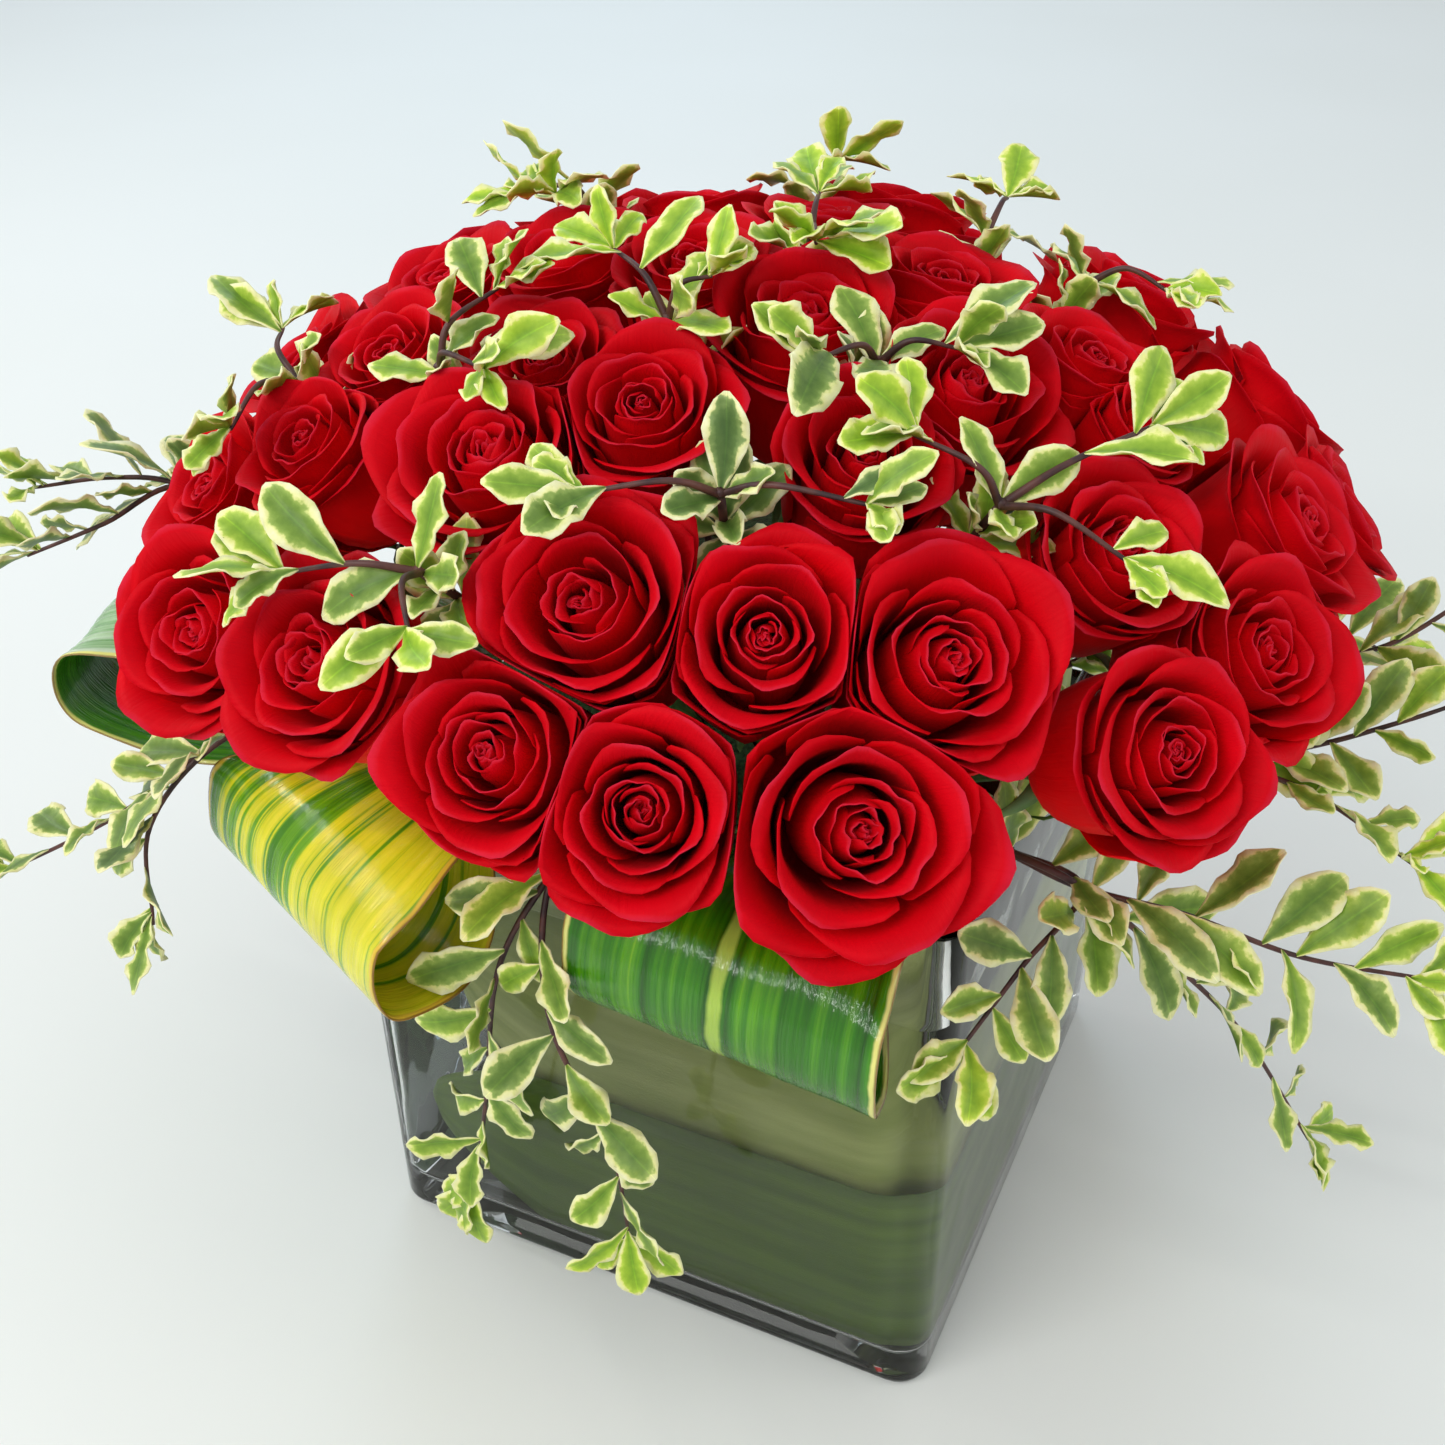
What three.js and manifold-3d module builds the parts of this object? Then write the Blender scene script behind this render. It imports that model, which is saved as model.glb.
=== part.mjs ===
// Rose arrangement: a low dome of red roses in a clear glass cube vase, with variegated pittosporum
// sprigs among the blooms and three aspidistra leaves rolled over the rim. Millimetres, +Z up.
// The origin is the middle of the vase's underside. The broad front of the vase faces -Y.

import * as THREE from 'three';
import { mergeVertices } from 'three/addons/utils/BufferGeometryUtils.js';
import Module from 'manifold-3d';

const wasm = await Module();
wasm.setup();

// Driving dimensions
const VASE = { side: 200, height: 200, wall: 6, floor: 12, corner: 11, bevel: 3 };
const WATER_LEVEL = 160;
const FOAM = { width: 130, top: 222, chamfer: 8 };
const GAP = 0.3;
const DOME = { radius: 186, rise: 110, middle: 228 };
const FOCUS = new THREE.Vector3(0, -5, 150);
const STEM = { radius: 2.5, end: 48 };
const TWIG = { radius: 1.2, sides: 3, end: 54 };
const HOLE = { sides: 4, stem: 4.1, twig: 2.3, deeper: 0.5, mouth: 150 };
const LEAF = { thick: 0.9, length: 30, width: 16, wave: 3 };
const SHEET = 0.8;
const BLOOM_FLOOR = 217;
const BLOOM_HEIGHT = { least: 18, perOpening: 0.75 };
const CLEAR = { rose: 0.3, twig: 2.2, fork: 10 };

const COLOURS = {
  glass: { color: '#dfe8e6', roughness: 0.04, metalness: 0 },
  water: { color: '#cfdad4', roughness: 0.02, metalness: 0 },
  foam: { color: '#3f5f3a', roughness: 0.95, metalness: 0 },
  lining: { color: '#4c7a3c', roughness: 0.45, metalness: 0 },
  paleLining: { color: '#93a98a', roughness: 0.5, metalness: 0 },
  rolled: { color: '#2f8a1e', roughness: 0.22, metalness: 0 },
  striped: { color: '#c9cf3c', roughness: 0.24, metalness: 0 },
  rose: { color: '#b3091d', roughness: 0.6, metalness: 0 },
  sprig: { color: '#9db765', roughness: 0.42, metalness: 0 },
};

// Each rose: azimuth in degrees from the front (-Y) towards +X, reach from the dome's axis, the width of
// its opening and, where it faces another way than its neighbours do, how far it is turned.
const SKIRT = [
  [31, 172, 58], [14, 170, 46], [1, 166, 48], [-20, 163, 48], [-38, 174, 50, 20], [-56, 162, 46],
  [-87, 162, 54], [-117, 166, 58], [-147, 168, 58], [-177, 168, 58], [153, 166, 58],
  [125, 165, 54], [107, 172, 44], [92, 158, 50], [74, 167, 48], [59, 172, 48],
];
const SHOULDER = [
  [5, 133, 52], [24, 137, 44], [41, 145, 52], [65, 135, 42], [87, 115, 30], [135, 123, 50],
  [178, 102, 50], [-125, 110, 46], [-86, 103, 44], [-58, 108, 40], [-47, 134, 40],
  [-19, 105, 54], [40, 92, 40], [94, 95, 42],
];
const CROWN = [
  [0, 77, 44], [-29, 75, 37], [66, 79, 50], [45, 33, 50], [115, 52, 48], [-84, 62, 44],
  [-76, 20, 44], [-140, 74, 46], [180, 48, 44],
];

// Sprigs among the blooms. An exit is where a branch comes out between blooms, as azimuth and reach on
// the dome, and its twigs are azimuth, reach, height over the dome and number of leaves at each tip.
const DOME_SPRIGS = [
  { name: 'sprig_crown_left', exits: [
    { at: [-115, 80], twigs: [[-98, 72, 10, 4], [-112, 104, 8, 3]] }] },
  { name: 'sprig_shoulder_left', exits: [
    { at: [-40, 96], twigs: [[-44, 76, 10, 4], [-24, 94, 8, 3]] },
    { at: [-60, 133], twigs: [[-50, 150, 9, 3], [-70, 140, 9, 3]] }] },
  { name: 'sprig_crown_front', exits: [
    { at: [-10, 46], twigs: [[-44, 44, 10, 4], [4, 40, 10, 4]] },
    { at: [129, 13], twigs: [[62, 22, 9, 3], [170, 28, 9, 3]] }] },
  { name: 'sprig_middle_front', exits: [
    { at: [18, 105], twigs: [[2, 118, 8, 3], [36, 118, 8, 3]] },
    { at: [50, 65], twigs: [[33, 74, 9, 3], [62, 78, 8, 3]] }] },
  { name: 'sprig_shoulder_right', exits: [
    { at: [53, 116], twigs: [[44, 100, 8, 3], [60, 144, 8, 3], [76, 122, 10, 4]] }] },
  { name: 'sprig_skirt_left', exits: [
    { at: [-13, 139], twigs: [[-25, 158, 8, 4], [-8, 156, 8, 2]] }] },
  { name: 'sprig_crown_back', exits: [
    { at: [144, 77], twigs: [[152, 94, 8, 3]] },
    { at: [122, 94], twigs: [[116, 114, 8, 3]] },
    { at: [-166, 80], twigs: [[-176, 66, 10, 3]] }] },
];

// Trailing sprigs: the point where the stem passes over the rim, then each branch as points with its
// number of leaves.
const RIM_SPRIGS = [
  { name: 'sprig_left_high', crossing: [-143, -50, 240], branches: [
    { points: [[-168, -62, 258], [-186, -72, 262], [-206, -86, 261]], leaves: 4 },
    { points: [[-168, -62, 258], [-182, -84, 253], [-200, -100, 246]], leaves: 4 }] },
  { name: 'sprig_left_low', crossing: [-104, -86, 213], branches: [
    { points: [[-124, -114, 209], [-152, -134, 186], [-190, -150, 162]], leaves: 5 },
    { points: [[-124, -114, 209], [-138, -136, 188], [-134, -148, 160]], leaves: 3 }] },
  { name: 'sprig_front', crossing: [-4, -104, 211], branches: [
    { points: [[-10, -124, 202], [-22, -134, 172], [-34, -130, 112], [-48, -124, 52]], leaves: 5 },
    { points: [[-8, -126, 202], [-2, -140, 166], [12, -136, 118], [12, -128, 66]], leaves: 6 }] },
  { name: 'sprig_right_front', crossing: [104, -70, 211], branches: [
    { points: [[124, -70, 205], [147, -46, 167], [170, -28, 130], [196, -10, 76]], leaves: 5 },
    { points: [[124, -70, 205], [152, -66, 202], [182, -56, 190], [214, -44, 184]], leaves: 4 },
    { points: [[124, -70, 205], [116, -94, 194], [106, -114, 176]], leaves: 2 }] },
  { name: 'sprig_right_middle', crossing: [104, -14, 211], branches: [
    { points: [[138, -10, 212], [172, -10, 210], [204, -18, 200]], leaves: 4 },
    { points: [[138, -10, 212], [166, 8, 211], [192, 18, 222], [208, 22, 232]], leaves: 4 }] },
  { name: 'sprig_right_back', crossing: [104, 40, 211], branches: [
    { points: [[144, 54, 211], [176, 66, 212], [198, 78, 228], [208, 84, 242]], leaves: 4 },
    { points: [[144, 54, 211], [164, 82, 206], [184, 96, 194]], leaves: 3 }] },
];

// Small helpers

const vector = (x, y, z) => new THREE.Vector3(x, y, z);
const radians = THREE.MathUtils.degToRad;
const clamp = THREE.MathUtils.clamp;

// A repeatable draw between 0 and 1 for a pair of numbers.
function draw(a, b) {
  const wave = Math.sin(a * 127.1 + b * 311.7) * 43758.5453;
  return wave - Math.floor(wave);
}

// A closed geometry as a solid, with shared corners merged and triangles without area left out.
function solidOf(geometry) {
  const bare = geometry.clone();
  bare.deleteAttribute('normal');
  bare.deleteAttribute('uv');
  const merged = mergeVertices(bare, 1e-4);
  const corners = [];
  const index = merged.index.array;
  for (let i = 0; i < index.length; i += 3) {
    const [a, b, c] = [index[i], index[i + 1], index[i + 2]];
    if (a !== b && b !== c && c !== a) corners.push(a, b, c);
  }
  return new wasm.Manifold(new wasm.Mesh({
    numProp: 3,
    vertProperties: new Float32Array(merged.getAttribute('position').array),
    triVerts: new Uint32Array(corners),
  }));
}

function geometryOf(solid) {
  const mesh = solid.getMesh();
  const geometry = new THREE.BufferGeometry();
  geometry.setAttribute('position', new THREE.BufferAttribute(new Float32Array(mesh.vertProperties), 3));
  geometry.setIndex(new THREE.BufferAttribute(new Uint32Array(mesh.triVerts), 1));
  geometry.computeVertexNormals();
  return geometry;
}

function join(solids) {
  return solids.reduce((whole, next) => whole.add(next));
}

// The biggest body of a cut solid, without loose scraps.
function largest(solid) {
  return solid.decompose().sort((a, b) => b.volume() - a.volume())[0];
}

// A geometry from its corner points and the corners of its triangles.
function geometryFrom(points, triangles) {
  const positions = new Float32Array(points.flatMap((point) => point.toArray()));
  const geometry = new THREE.BufferGeometry();
  geometry.setAttribute('position', new THREE.BufferAttribute(positions, 3));
  geometry.setIndex(triangles);
  return geometry;
}

// A thin sheet on a grid of middle points. place(s, n) gives the middle surface for s from -1 to 1
// across and for row n along. Both faces are split into triangles alike.
function sheet(acrossList, rows, place, thick) {
  const columns = acrossList.length;
  const middle = Array.from({ length: rows }, (_, n) => acrossList.map((s) => place(s, n)));
  const points = [];
  for (let j = 0; j < rows; j += 1) {
    for (let i = 0; i < columns; i += 1) {
      const across = middle[j][Math.min(i + 1, columns - 1)].clone().sub(middle[j][Math.max(i - 1, 0)]);
      const along = middle[Math.min(j + 1, rows - 1)][i].clone().sub(middle[Math.max(j - 1, 0)][i]);
      const normal = across.cross(along).normalize();
      points.push(middle[j][i].clone().addScaledVector(normal, thick / 2));
      points.push(middle[j][i].clone().addScaledVector(normal, -thick / 2));
    }
  }
  const front = (corner) => 2 * corner;
  const back = (corner) => 2 * corner + 1;
  const triangles = [];
  const quad = (a, b, c, d) => triangles.push(a, b, c, a, c, d);
  for (let j = 0; j < rows - 1; j += 1) {
    for (let i = 0; i < columns - 1; i += 1) {
      const [a, b] = [j * columns + i, j * columns + i + 1];
      const [c, d] = [b + columns, a + columns];
      quad(front(a), front(b), front(c), front(d));
      triangles.push(back(a), back(c), back(b), back(a), back(d), back(c));
    }
  }
  const rim = [];
  for (let i = 0; i < columns; i += 1) rim.push(i);
  for (let j = 1; j < rows; j += 1) rim.push(j * columns + columns - 1);
  for (let i = columns - 2; i >= 0; i -= 1) rim.push((rows - 1) * columns + i);
  for (let j = rows - 2; j >= 1; j -= 1) rim.push(j * columns);
  rim.forEach((a, n) => {
    const b = rim[(n + 1) % rim.length];
    quad(front(a), back(a), back(b), front(b));
  });
  return geometryFrom(points, triangles);
}

// A round stem of few sides along a curve.
function tube(curve, radius, sides, steps) {
  const outline = new THREE.Shape();
  for (let n = 0; n < sides; n += 1) {
    const angle = (2 * Math.PI * n) / sides;
    const [x, y] = [radius * Math.cos(angle), radius * Math.sin(angle)];
    if (n === 0) outline.moveTo(x, y);
    else outline.lineTo(x, y);
  }
  outline.closePath();
  return new THREE.ExtrudeGeometry(outline, { steps, extrudePath: curve, bevelEnabled: false });
}

function roundedSquare(side, corner) {
  const half = side / 2;
  const inner = half - corner;
  const shape = new THREE.Shape();
  shape.moveTo(half, -inner);
  shape.lineTo(half, inner);
  shape.absarc(inner, inner, corner, 0, Math.PI / 2);
  shape.lineTo(-inner, half);
  shape.absarc(-inner, inner, corner, Math.PI / 2, Math.PI);
  shape.lineTo(-half, -inner);
  shape.absarc(-inner, -inner, corner, Math.PI, 1.5 * Math.PI);
  shape.lineTo(inner, -half);
  shape.absarc(inner, -inner, corner, 1.5 * Math.PI, 2 * Math.PI);
  return shape;
}

function prism(shape, bottom, top, curveSegments = 3) {
  const depth = top - bottom;
  const geometry = new THREE.ExtrudeGeometry(shape, { depth, bevelEnabled: false, curveSegments });
  geometry.translate(0, 0, bottom);
  return geometry;
}

// The dome

const outward = (azimuth) => vector(Math.sin(radians(azimuth)), -Math.cos(radians(azimuth)), 0);

function domePoint(azimuth, reach, lift = 0) {
  const scaled = Math.min(reach / (DOME.radius + lift), 0.999);
  const point = outward(azimuth).multiplyScalar(reach);
  point.z = DOME.middle + (DOME.rise + lift) * Math.sqrt(1 - scaled * scaled);
  return point;
}

function domeNormal(point) {
  return vector(
    point.x / DOME.radius ** 2,
    point.y / DOME.radius ** 2,
    (point.z - DOME.middle) / DOME.rise ** 2,
  ).normalize();
}

// The roses. Those on the front half lean a little towards the side they are seen from.
const FRONT_LEAN = vector(0.22, -0.42, 0.3);

const roses = [...SKIRT, ...SHOULDER, ...CROWN].map(([azimuth, reach, opening, turned = 0], index) => {
  const lip = domePoint(azimuth, reach);
  const ray = lip.clone().sub(FOCUS).normalize();
  const axis = ray.clone().add(domeNormal(lip)).addScaledVector(FRONT_LEAN, lip.y < 0 ? 1 : 0)
    .applyAxisAngle(vector(0, 0, 1), radians(turned)).normalize();
  const height = BLOOM_HEIGHT.least + BLOOM_HEIGHT.perOpening * opening;
  const base = lip.clone().addScaledVector(ray, -height);
  const bend = lip.clone().addScaledVector(axis, -height / 2);
  const side = vector(-axis.y, axis.x, 0).normalize();
  const walls = [];
  return { index, lip, ray, height, base, bend, side, walls, radius: opening / 2 };
});

// The frame of a bloom at a share of its height: its bent middle line starts on the stem and ends at the
// lip, where it has turned to the way that the bloom faces.
function bloomFrame({ base, bend, lip, side }, share) {
  const [first, last] = [bend.clone().sub(base), lip.clone().sub(bend)];
  const middle = base.clone().addScaledVector(first, 2 * share * (1 - share))
    .addScaledVector(lip.clone().sub(base), share * share);
  const ahead = first.lerp(last, share).normalize();
  const across = side.clone().addScaledVector(ahead, -side.dot(ahead)).normalize();
  return { middle, across, up: ahead.clone().cross(across) };
}

// A wall is a plane that a bloom stays behind: one through the focus for each neighbour and each twig
// that passes, and one below, over the rolled leaves. So each bloom keeps to its own share of the dome.
function addWall(rose, other, share, clear) {
  const angle = rose.ray.angleTo(other);
  const towards = other.clone().addScaledVector(rose.ray, -other.dot(rose.ray)).normalize();
  const turn = angle * share;
  const normal = towards.multiplyScalar(Math.cos(turn)).addScaledVector(rose.ray, -Math.sin(turn));
  rose.walls.push({ normal, limit: normal.dot(FOCUS) - clear });
}

const NEIGHBOUR_ANGLE = radians(48);
const FREE_SHARE = 0.72;

const exitRays = DOME_SPRIGS.flatMap((sprig) => sprig.exits.map(({ at }) => (
  domePoint(...at).sub(FOCUS).normalize())));
const crossingRays = RIM_SPRIGS.map(({ crossing }) => vector(...crossing).sub(FOCUS).normalize());

for (const rose of roses) {
  for (const other of roses) {
    if (other !== rose && rose.ray.angleTo(other.ray) < NEIGHBOUR_ANGLE) {
      addWall(rose, other.ray, rose.radius / (rose.radius + other.radius), CLEAR.rose);
    }
  }
  for (const ray of [...exitRays, ...crossingRays]) {
    if (rose.ray.angleTo(ray) < NEIGHBOUR_ANGLE) addWall(rose, ray, 1, CLEAR.twig);
  }
  rose.walls.push({ normal: vector(0, 0, -1), limit: -BLOOM_FLOOR });
}

// A point of a bloom at an angle round its axis, a distance from it and a height along it. Past a share
// of the way to the nearest wall the distance is squeezed, so that it never reaches the wall.
function bloomPoint(rose, angle, distance, height) {
  const { middle, across, up } = bloomFrame(rose, height / rose.height);
  const away = across.multiplyScalar(Math.cos(angle)).addScaledVector(up, Math.sin(angle));
  let room = Infinity;
  for (const { normal, limit } of rose.walls) {
    const slope = normal.dot(away);
    if (slope > 1e-6) room = Math.min(room, (limit - normal.dot(middle)) / slope);
  }
  const free = FREE_SHARE * room;
  const rest = room - free;
  const kept = distance <= free ? distance : free + rest * (1 - Math.exp((free - distance) / rest));
  return middle.addScaledVector(away, kept);
}

// The rings of a bloom from its hip to its heart, as reach (a share of the opening's radius), depth
// below the top, petals in the ring, how far its petals overlap and droop, and by how many columns they
// are shifted. Each layer of petals rises to a lip and falls to the gap behind the next.
const BLOOM_RINGS = [
  { reach: 0.95, depth: 0.58, petals: 5, tuck: 0.03, droop: 0, shift: 0 },
  { reach: 1.3, depth: 0.18, petals: 5, tuck: 0.14, droop: 0.16, shift: 0 },
  { reach: 1.08, depth: 0.06, petals: 5, tuck: 0.08, droop: 0.08, shift: 0 },
  { reach: 0.82, depth: 0.26, petals: 5, tuck: 0.02, droop: 0, shift: 1 },
  { reach: 0.92, depth: 0, petals: 5, tuck: 0.08, droop: 0.1, shift: 1 },
  { reach: 0.58, depth: 0.24, petals: 5, tuck: 0.02, droop: 0, shift: 2 },
  { reach: 0.66, depth: 0.01, petals: 3, tuck: 0.08, droop: 0.07, shift: 2 },
  { reach: 0.32, depth: 0.18, petals: 3, tuck: 0.01, droop: 0, shift: 4 },
  { reach: 0.37, depth: 0.04, petals: 3, tuck: 0.06, droop: 0.05, shift: 4 },
];
const HIP = { reach: 6, height: 2, foot: -7 };
const HEART_DEPTH = 0.2;
const STRAY = 0.03;
const DROOP_SHARE = 0.6;
const TUCK_SHARE = 0.5;

// A bloom with its hip and its straight stem as one closed surface. The stem has a third of the bloom's
// columns, and the columns that fall together there are merged.
function roseGeometry(rose, columns, rings) {
  const { height, radius, base, ray, side, index } = rose;
  const start = draw(index, 1) * 2 * Math.PI;
  const angleOf = (column) => start + (2 * Math.PI * column) / columns;
  const stemSide = side.clone().addScaledVector(ray, -side.dot(ray)).normalize();
  const stemUp = ray.clone().cross(stemSide);
  const stemPoint = (column, distance) => {
    const angle = angleOf(3 * Math.floor(column / 3) + 1);
    return FOCUS.clone().addScaledVector(ray, distance)
      .addScaledVector(stemSide, STEM.radius * Math.cos(angle))
      .addScaledVector(stemUp, STEM.radius * Math.sin(angle));
  };
  const neck = base.distanceTo(FOCUS) + HIP.foot;
  const rows = [];
  const row = (make) => rows.push(Array.from({ length: columns }, (_, n) => make(n)));
  row(() => FOCUS.clone().addScaledVector(ray, STEM.end));
  row((n) => stemPoint(n, STEM.end));
  row((n) => stemPoint(n, neck));
  row((n) => bloomPoint(rose, angleOf(n), HIP.reach, HIP.height));
  rings.forEach(({ reach, depth, petals, tuck, droop, shift }, order) => {
    const perPetal = columns / petals;
    row((n) => {
      const place = (((n + shift) % perPetal) + 0.5) / perPetal * 2 - 1;
      const petal = Math.floor((n + shift) / perPetal) % petals;
      const stray = droop > 0 ? STRAY * (draw(index * 7 + order, petal) - 0.5) : 0;
      const out = radius * (reach + tuck * place * TUCK_SHARE + stray);
      const down = height * (depth + droop * place * place * DROOP_SHARE + stray);
      return bloomPoint(rose, angleOf(n), out, height - down);
    });
  });
  row(() => bloomFrame(rose, 1 - HEART_DEPTH).middle);
  const triangles = [];
  for (let j = 0; j < rows.length - 1; j += 1) {
    for (let n = 0; n < columns; n += 1) {
      const a = j * columns + n;
      const b = j * columns + ((n + 1) % columns);
      triangles.push(a, b, b + columns, a, b + columns, a + columns);
    }
  }
  return geometryFrom(rows.flat(), triangles);
}

// Blooms further back have fewer columns and one layer of petals fewer.
const FRONT_COLUMNS = 15;
const BACK_COLUMNS = 12;
const BACK_FROM = -40;
const BACK_RINGS = [...BLOOM_RINGS.slice(0, 6), ...BLOOM_RINGS.slice(8)]
  .map((ring) => ({ ...ring, petals: Math.min(ring.petals, 4) }));

function roseSolid(rose) {
  if (rose.lip.y < BACK_FROM) return solidOf(roseGeometry(rose, FRONT_COLUMNS, BLOOM_RINGS));
  return solidOf(roseGeometry(rose, BACK_COLUMNS, BACK_RINGS));
}

// The sprigs

// A pittosporum leaf is a fan of six points round its middle, as shares of its length and half width
// with a rise: narrow at its foot, widest past the middle, pointed, its margin waved up and down.
const LEAF_OUTLINE = [[0, 0, 0], [0.42, 0.95, 0.5], [0.78, 0.8, -0.45], [1, 0, -0.9],
  [0.72, -0.85, 0.45], [0.38, -0.9, -0.25]];
const LEAF_HEART = 0.55;

function leafGeometry(foot, heading, face, length, width) {
  const side = heading.clone().cross(face).normalize();
  const over = side.clone().cross(heading).normalize();
  const point = (along, across, rise) => foot.clone()
    .addScaledVector(heading, along * length)
    .addScaledVector(side, (across * width) / 2)
    .addScaledVector(over, rise);
  const points = LEAF_OUTLINE.map(([along, across, rise]) => point(along, across, rise * LEAF.wave));
  points.push(point(LEAF_HEART, 0, LEAF.thick / 2), point(LEAF_HEART, 0, -LEAF.thick / 2));
  const triangles = [];
  LEAF_OUTLINE.forEach((_, n) => {
    const next = (n + 1) % LEAF_OUTLINE.length;
    triangles.push(6, n, next, 7, next, n);
  });
  return geometryFrom(points, triangles);
}

// A twig with few bends: the solid, and the straight run between bends that its leaves stand on.
function twig(points, steps) {
  const curve = points.length > 2 ? new THREE.CatmullRomCurve3(points) : new THREE.LineCurve3(...points);
  const stops = curve.getSpacedPoints(steps);
  const spine = new THREE.CurvePath();
  for (let n = 0; n < steps; n += 1) spine.add(new THREE.LineCurve3(stops[n], stops[n + 1]));
  return { spine, solid: solidOf(tube(curve, TWIG.radius, TWIG.sides, steps)) };
}

// Leaves along the last part of a twig, to one side and the other by turns, one at its very tip. Rise is
// how far a leaf stands up from the twig's sides, lean how far it turns off the twig's line, both in
// degrees, and size its share of the usual leaf: each from its least over a range.
const LEAVES = {
  tip: 0.99, share: 0.7, tipLean: 10, rise: [18, 26], lean: [50, 16], size: [0.82, 0.36],
};

function leavesAlong(spine, count, seed, away) {
  const within = ([least, range], salt) => least + range * draw(seed, salt);
  return Array.from({ length: count }, (_, n) => {
    const part = n === 0 ? LEAVES.tip : 1 - LEAVES.share * (n / count);
    const foot = spine.getPointAt(part);
    const ahead = spine.getTangentAt(part);
    const over = away(foot);
    const side = ahead.clone().cross(over).normalize();
    const top = side.clone().cross(ahead).normalize();
    const rise = within(LEAVES.rise, n + 5);
    const around = radians(n % 2 ? rise : 180 - rise);
    const lean = radians(n === 0 ? LEAVES.tipLean : within(LEAVES.lean, n + 11));
    const heading = ahead.clone().multiplyScalar(Math.cos(lean))
      .addScaledVector(side, Math.sin(lean) * Math.cos(around))
      .addScaledVector(top, Math.sin(lean) * Math.sin(around))
      .normalize();
    const size = within(LEAVES.size, n + 23);
    const face = top.clone().addScaledVector(side, draw(seed, n + 37) - 0.5);
    return solidOf(leafGeometry(foot, heading, face, LEAF.length * size, LEAF.width * size));
  });
}

const alongRay = (ray, distance) => FOCUS.clone().addScaledVector(ray, distance);

// How far along a ray from the focus a branch is clear of the foam.
function clearOfFoam(ray) {
  const half = FOAM.width / 2;
  const sides = Math.min(half / Math.abs(ray.x), (half + FOCUS.y) / Math.abs(ray.y));
  return Math.min(sides, (FOAM.top - FOCUS.z) / ray.z) + CLEAR.fork;
}

// A branch among the blooms. Its stem comes straight out of the foam to its first exit, and side
// branches leave it just over the foam and run between the blooms' stems to the other exits. A twig
// leaves its exit along the stem, turns there and runs over the blooms to its tip.
const FORK = { back: 2, run: 8, bends: 4 };
const TURN = { back: 2, rise: 6, share: 0.35, bends: 2 };
function domeSprigSolid(sprig, number) {
  const parts = [];
  const mouths = sprig.exits.map(({ at }) => domePoint(...at, 1));
  const rays = mouths.map((mouth) => mouth.clone().sub(FOCUS).normalize());
  const trunk = rays[0];
  parts.push(twig([alongRay(trunk, TWIG.end), mouths[0]], 1).solid);
  for (let n = 1; n < rays.length; n += 1) {
    const between = trunk.clone().add(rays[n]).normalize();
    const reach = Math.max(clearOfFoam(trunk), clearOfFoam(between), clearOfFoam(rays[n]));
    parts.push(twig([
      alongRay(trunk, reach - FORK.back), alongRay(between, reach), alongRay(rays[n], reach + FORK.run),
      mouths[n],
    ], FORK.bends).solid);
  }
  sprig.exits.forEach(({ twigs }, order) => {
    twigs.forEach(([azimuth, reach, lift, count], n) => {
      const tip = domePoint(azimuth, reach, lift);
      const start = mouths[order].clone().addScaledVector(rays[order], -TURN.back);
      const turn = start.clone().lerp(tip, TURN.share).addScaledVector(rays[order], TURN.rise);
      const { spine, solid } = twig([start, turn, tip], TURN.bends);
      parts.push(solid, ...leavesAlong(spine, count, number * 50 + order * 20 + n * 7, domeNormal));
    });
  });
  return join(parts);
}

// A trailing sprig: one straight stem out of the foam to where it passes over the rim, and its branches
// from there. Its leaves face out and up.
const CROSSING_BACK = 3;
const BRANCH_STEP = 0.9;
const FACE_UP = 0.7;

function rimSprigSolid(sprig, number) {
  const crossing = vector(...sprig.crossing);
  const ray = crossing.clone().sub(FOCUS).normalize();
  const parts = [twig([alongRay(ray, TWIG.end), crossing], 1).solid];
  const away = (foot) => vector(foot.x, foot.y, 0).normalize().add(vector(0, 0, FACE_UP));
  sprig.branches.forEach(({ points, leaves }, n) => {
    const start = crossing.clone().addScaledVector(ray, -CROSSING_BACK - n * BRANCH_STEP);
    const { spine, solid } = twig([start, ...points.map((p) => vector(...p))], points.length + 1);
    parts.push(solid, ...leavesAlong(spine, leaves, number * 50 + n * 13, away));
  });
  return join(parts);
}

// The vase and what stands in it

function vaseSolid() {
  const { side, height, corner, bevel, wall, floor } = VASE;
  const body = new THREE.ExtrudeGeometry(roundedSquare(side - 2 * bevel, corner - bevel), {
    depth: height - 2 * bevel, bevelThickness: bevel, bevelSize: bevel, bevelSegments: 1,
    curveSegments: 3,
  });
  body.translate(0, 0, bevel);
  const hollow = prism(roundedSquare(side - 2 * wall, corner - wall + 1), floor, height + 5);
  return solidOf(body).subtract(solidOf(hollow));
}

// The foam block without its holes, grown on every side.
function foamBody(grown) {
  const { width, top, chamfer } = FOAM;
  const half = width / 2 + grown;
  const foot = VASE.floor + GAP - grown;
  const profile = [[half, foot], [half, top - chamfer], [half - chamfer, top + grown]];
  const corners = [];
  for (const [reach, z] of profile) {
    corners.push(vector(reach, -reach, z), vector(reach, reach, z));
    corners.push(vector(-reach, reach, z), vector(-reach, -reach, z));
  }
  const triangles = [0, 2, 1, 0, 3, 2, 8, 9, 10, 8, 10, 11];
  for (let ring = 0; ring < 2; ring += 1) {
    for (let n = 0; n < 4; n += 1) {
      const a = ring * 4 + n;
      const b = ring * 4 + ((n + 1) % 4);
      triangles.push(a, b, b + 4, a, b + 4, a + 4);
    }
  }
  return solidOf(geometryFrom(corners, triangles));
}

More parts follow.
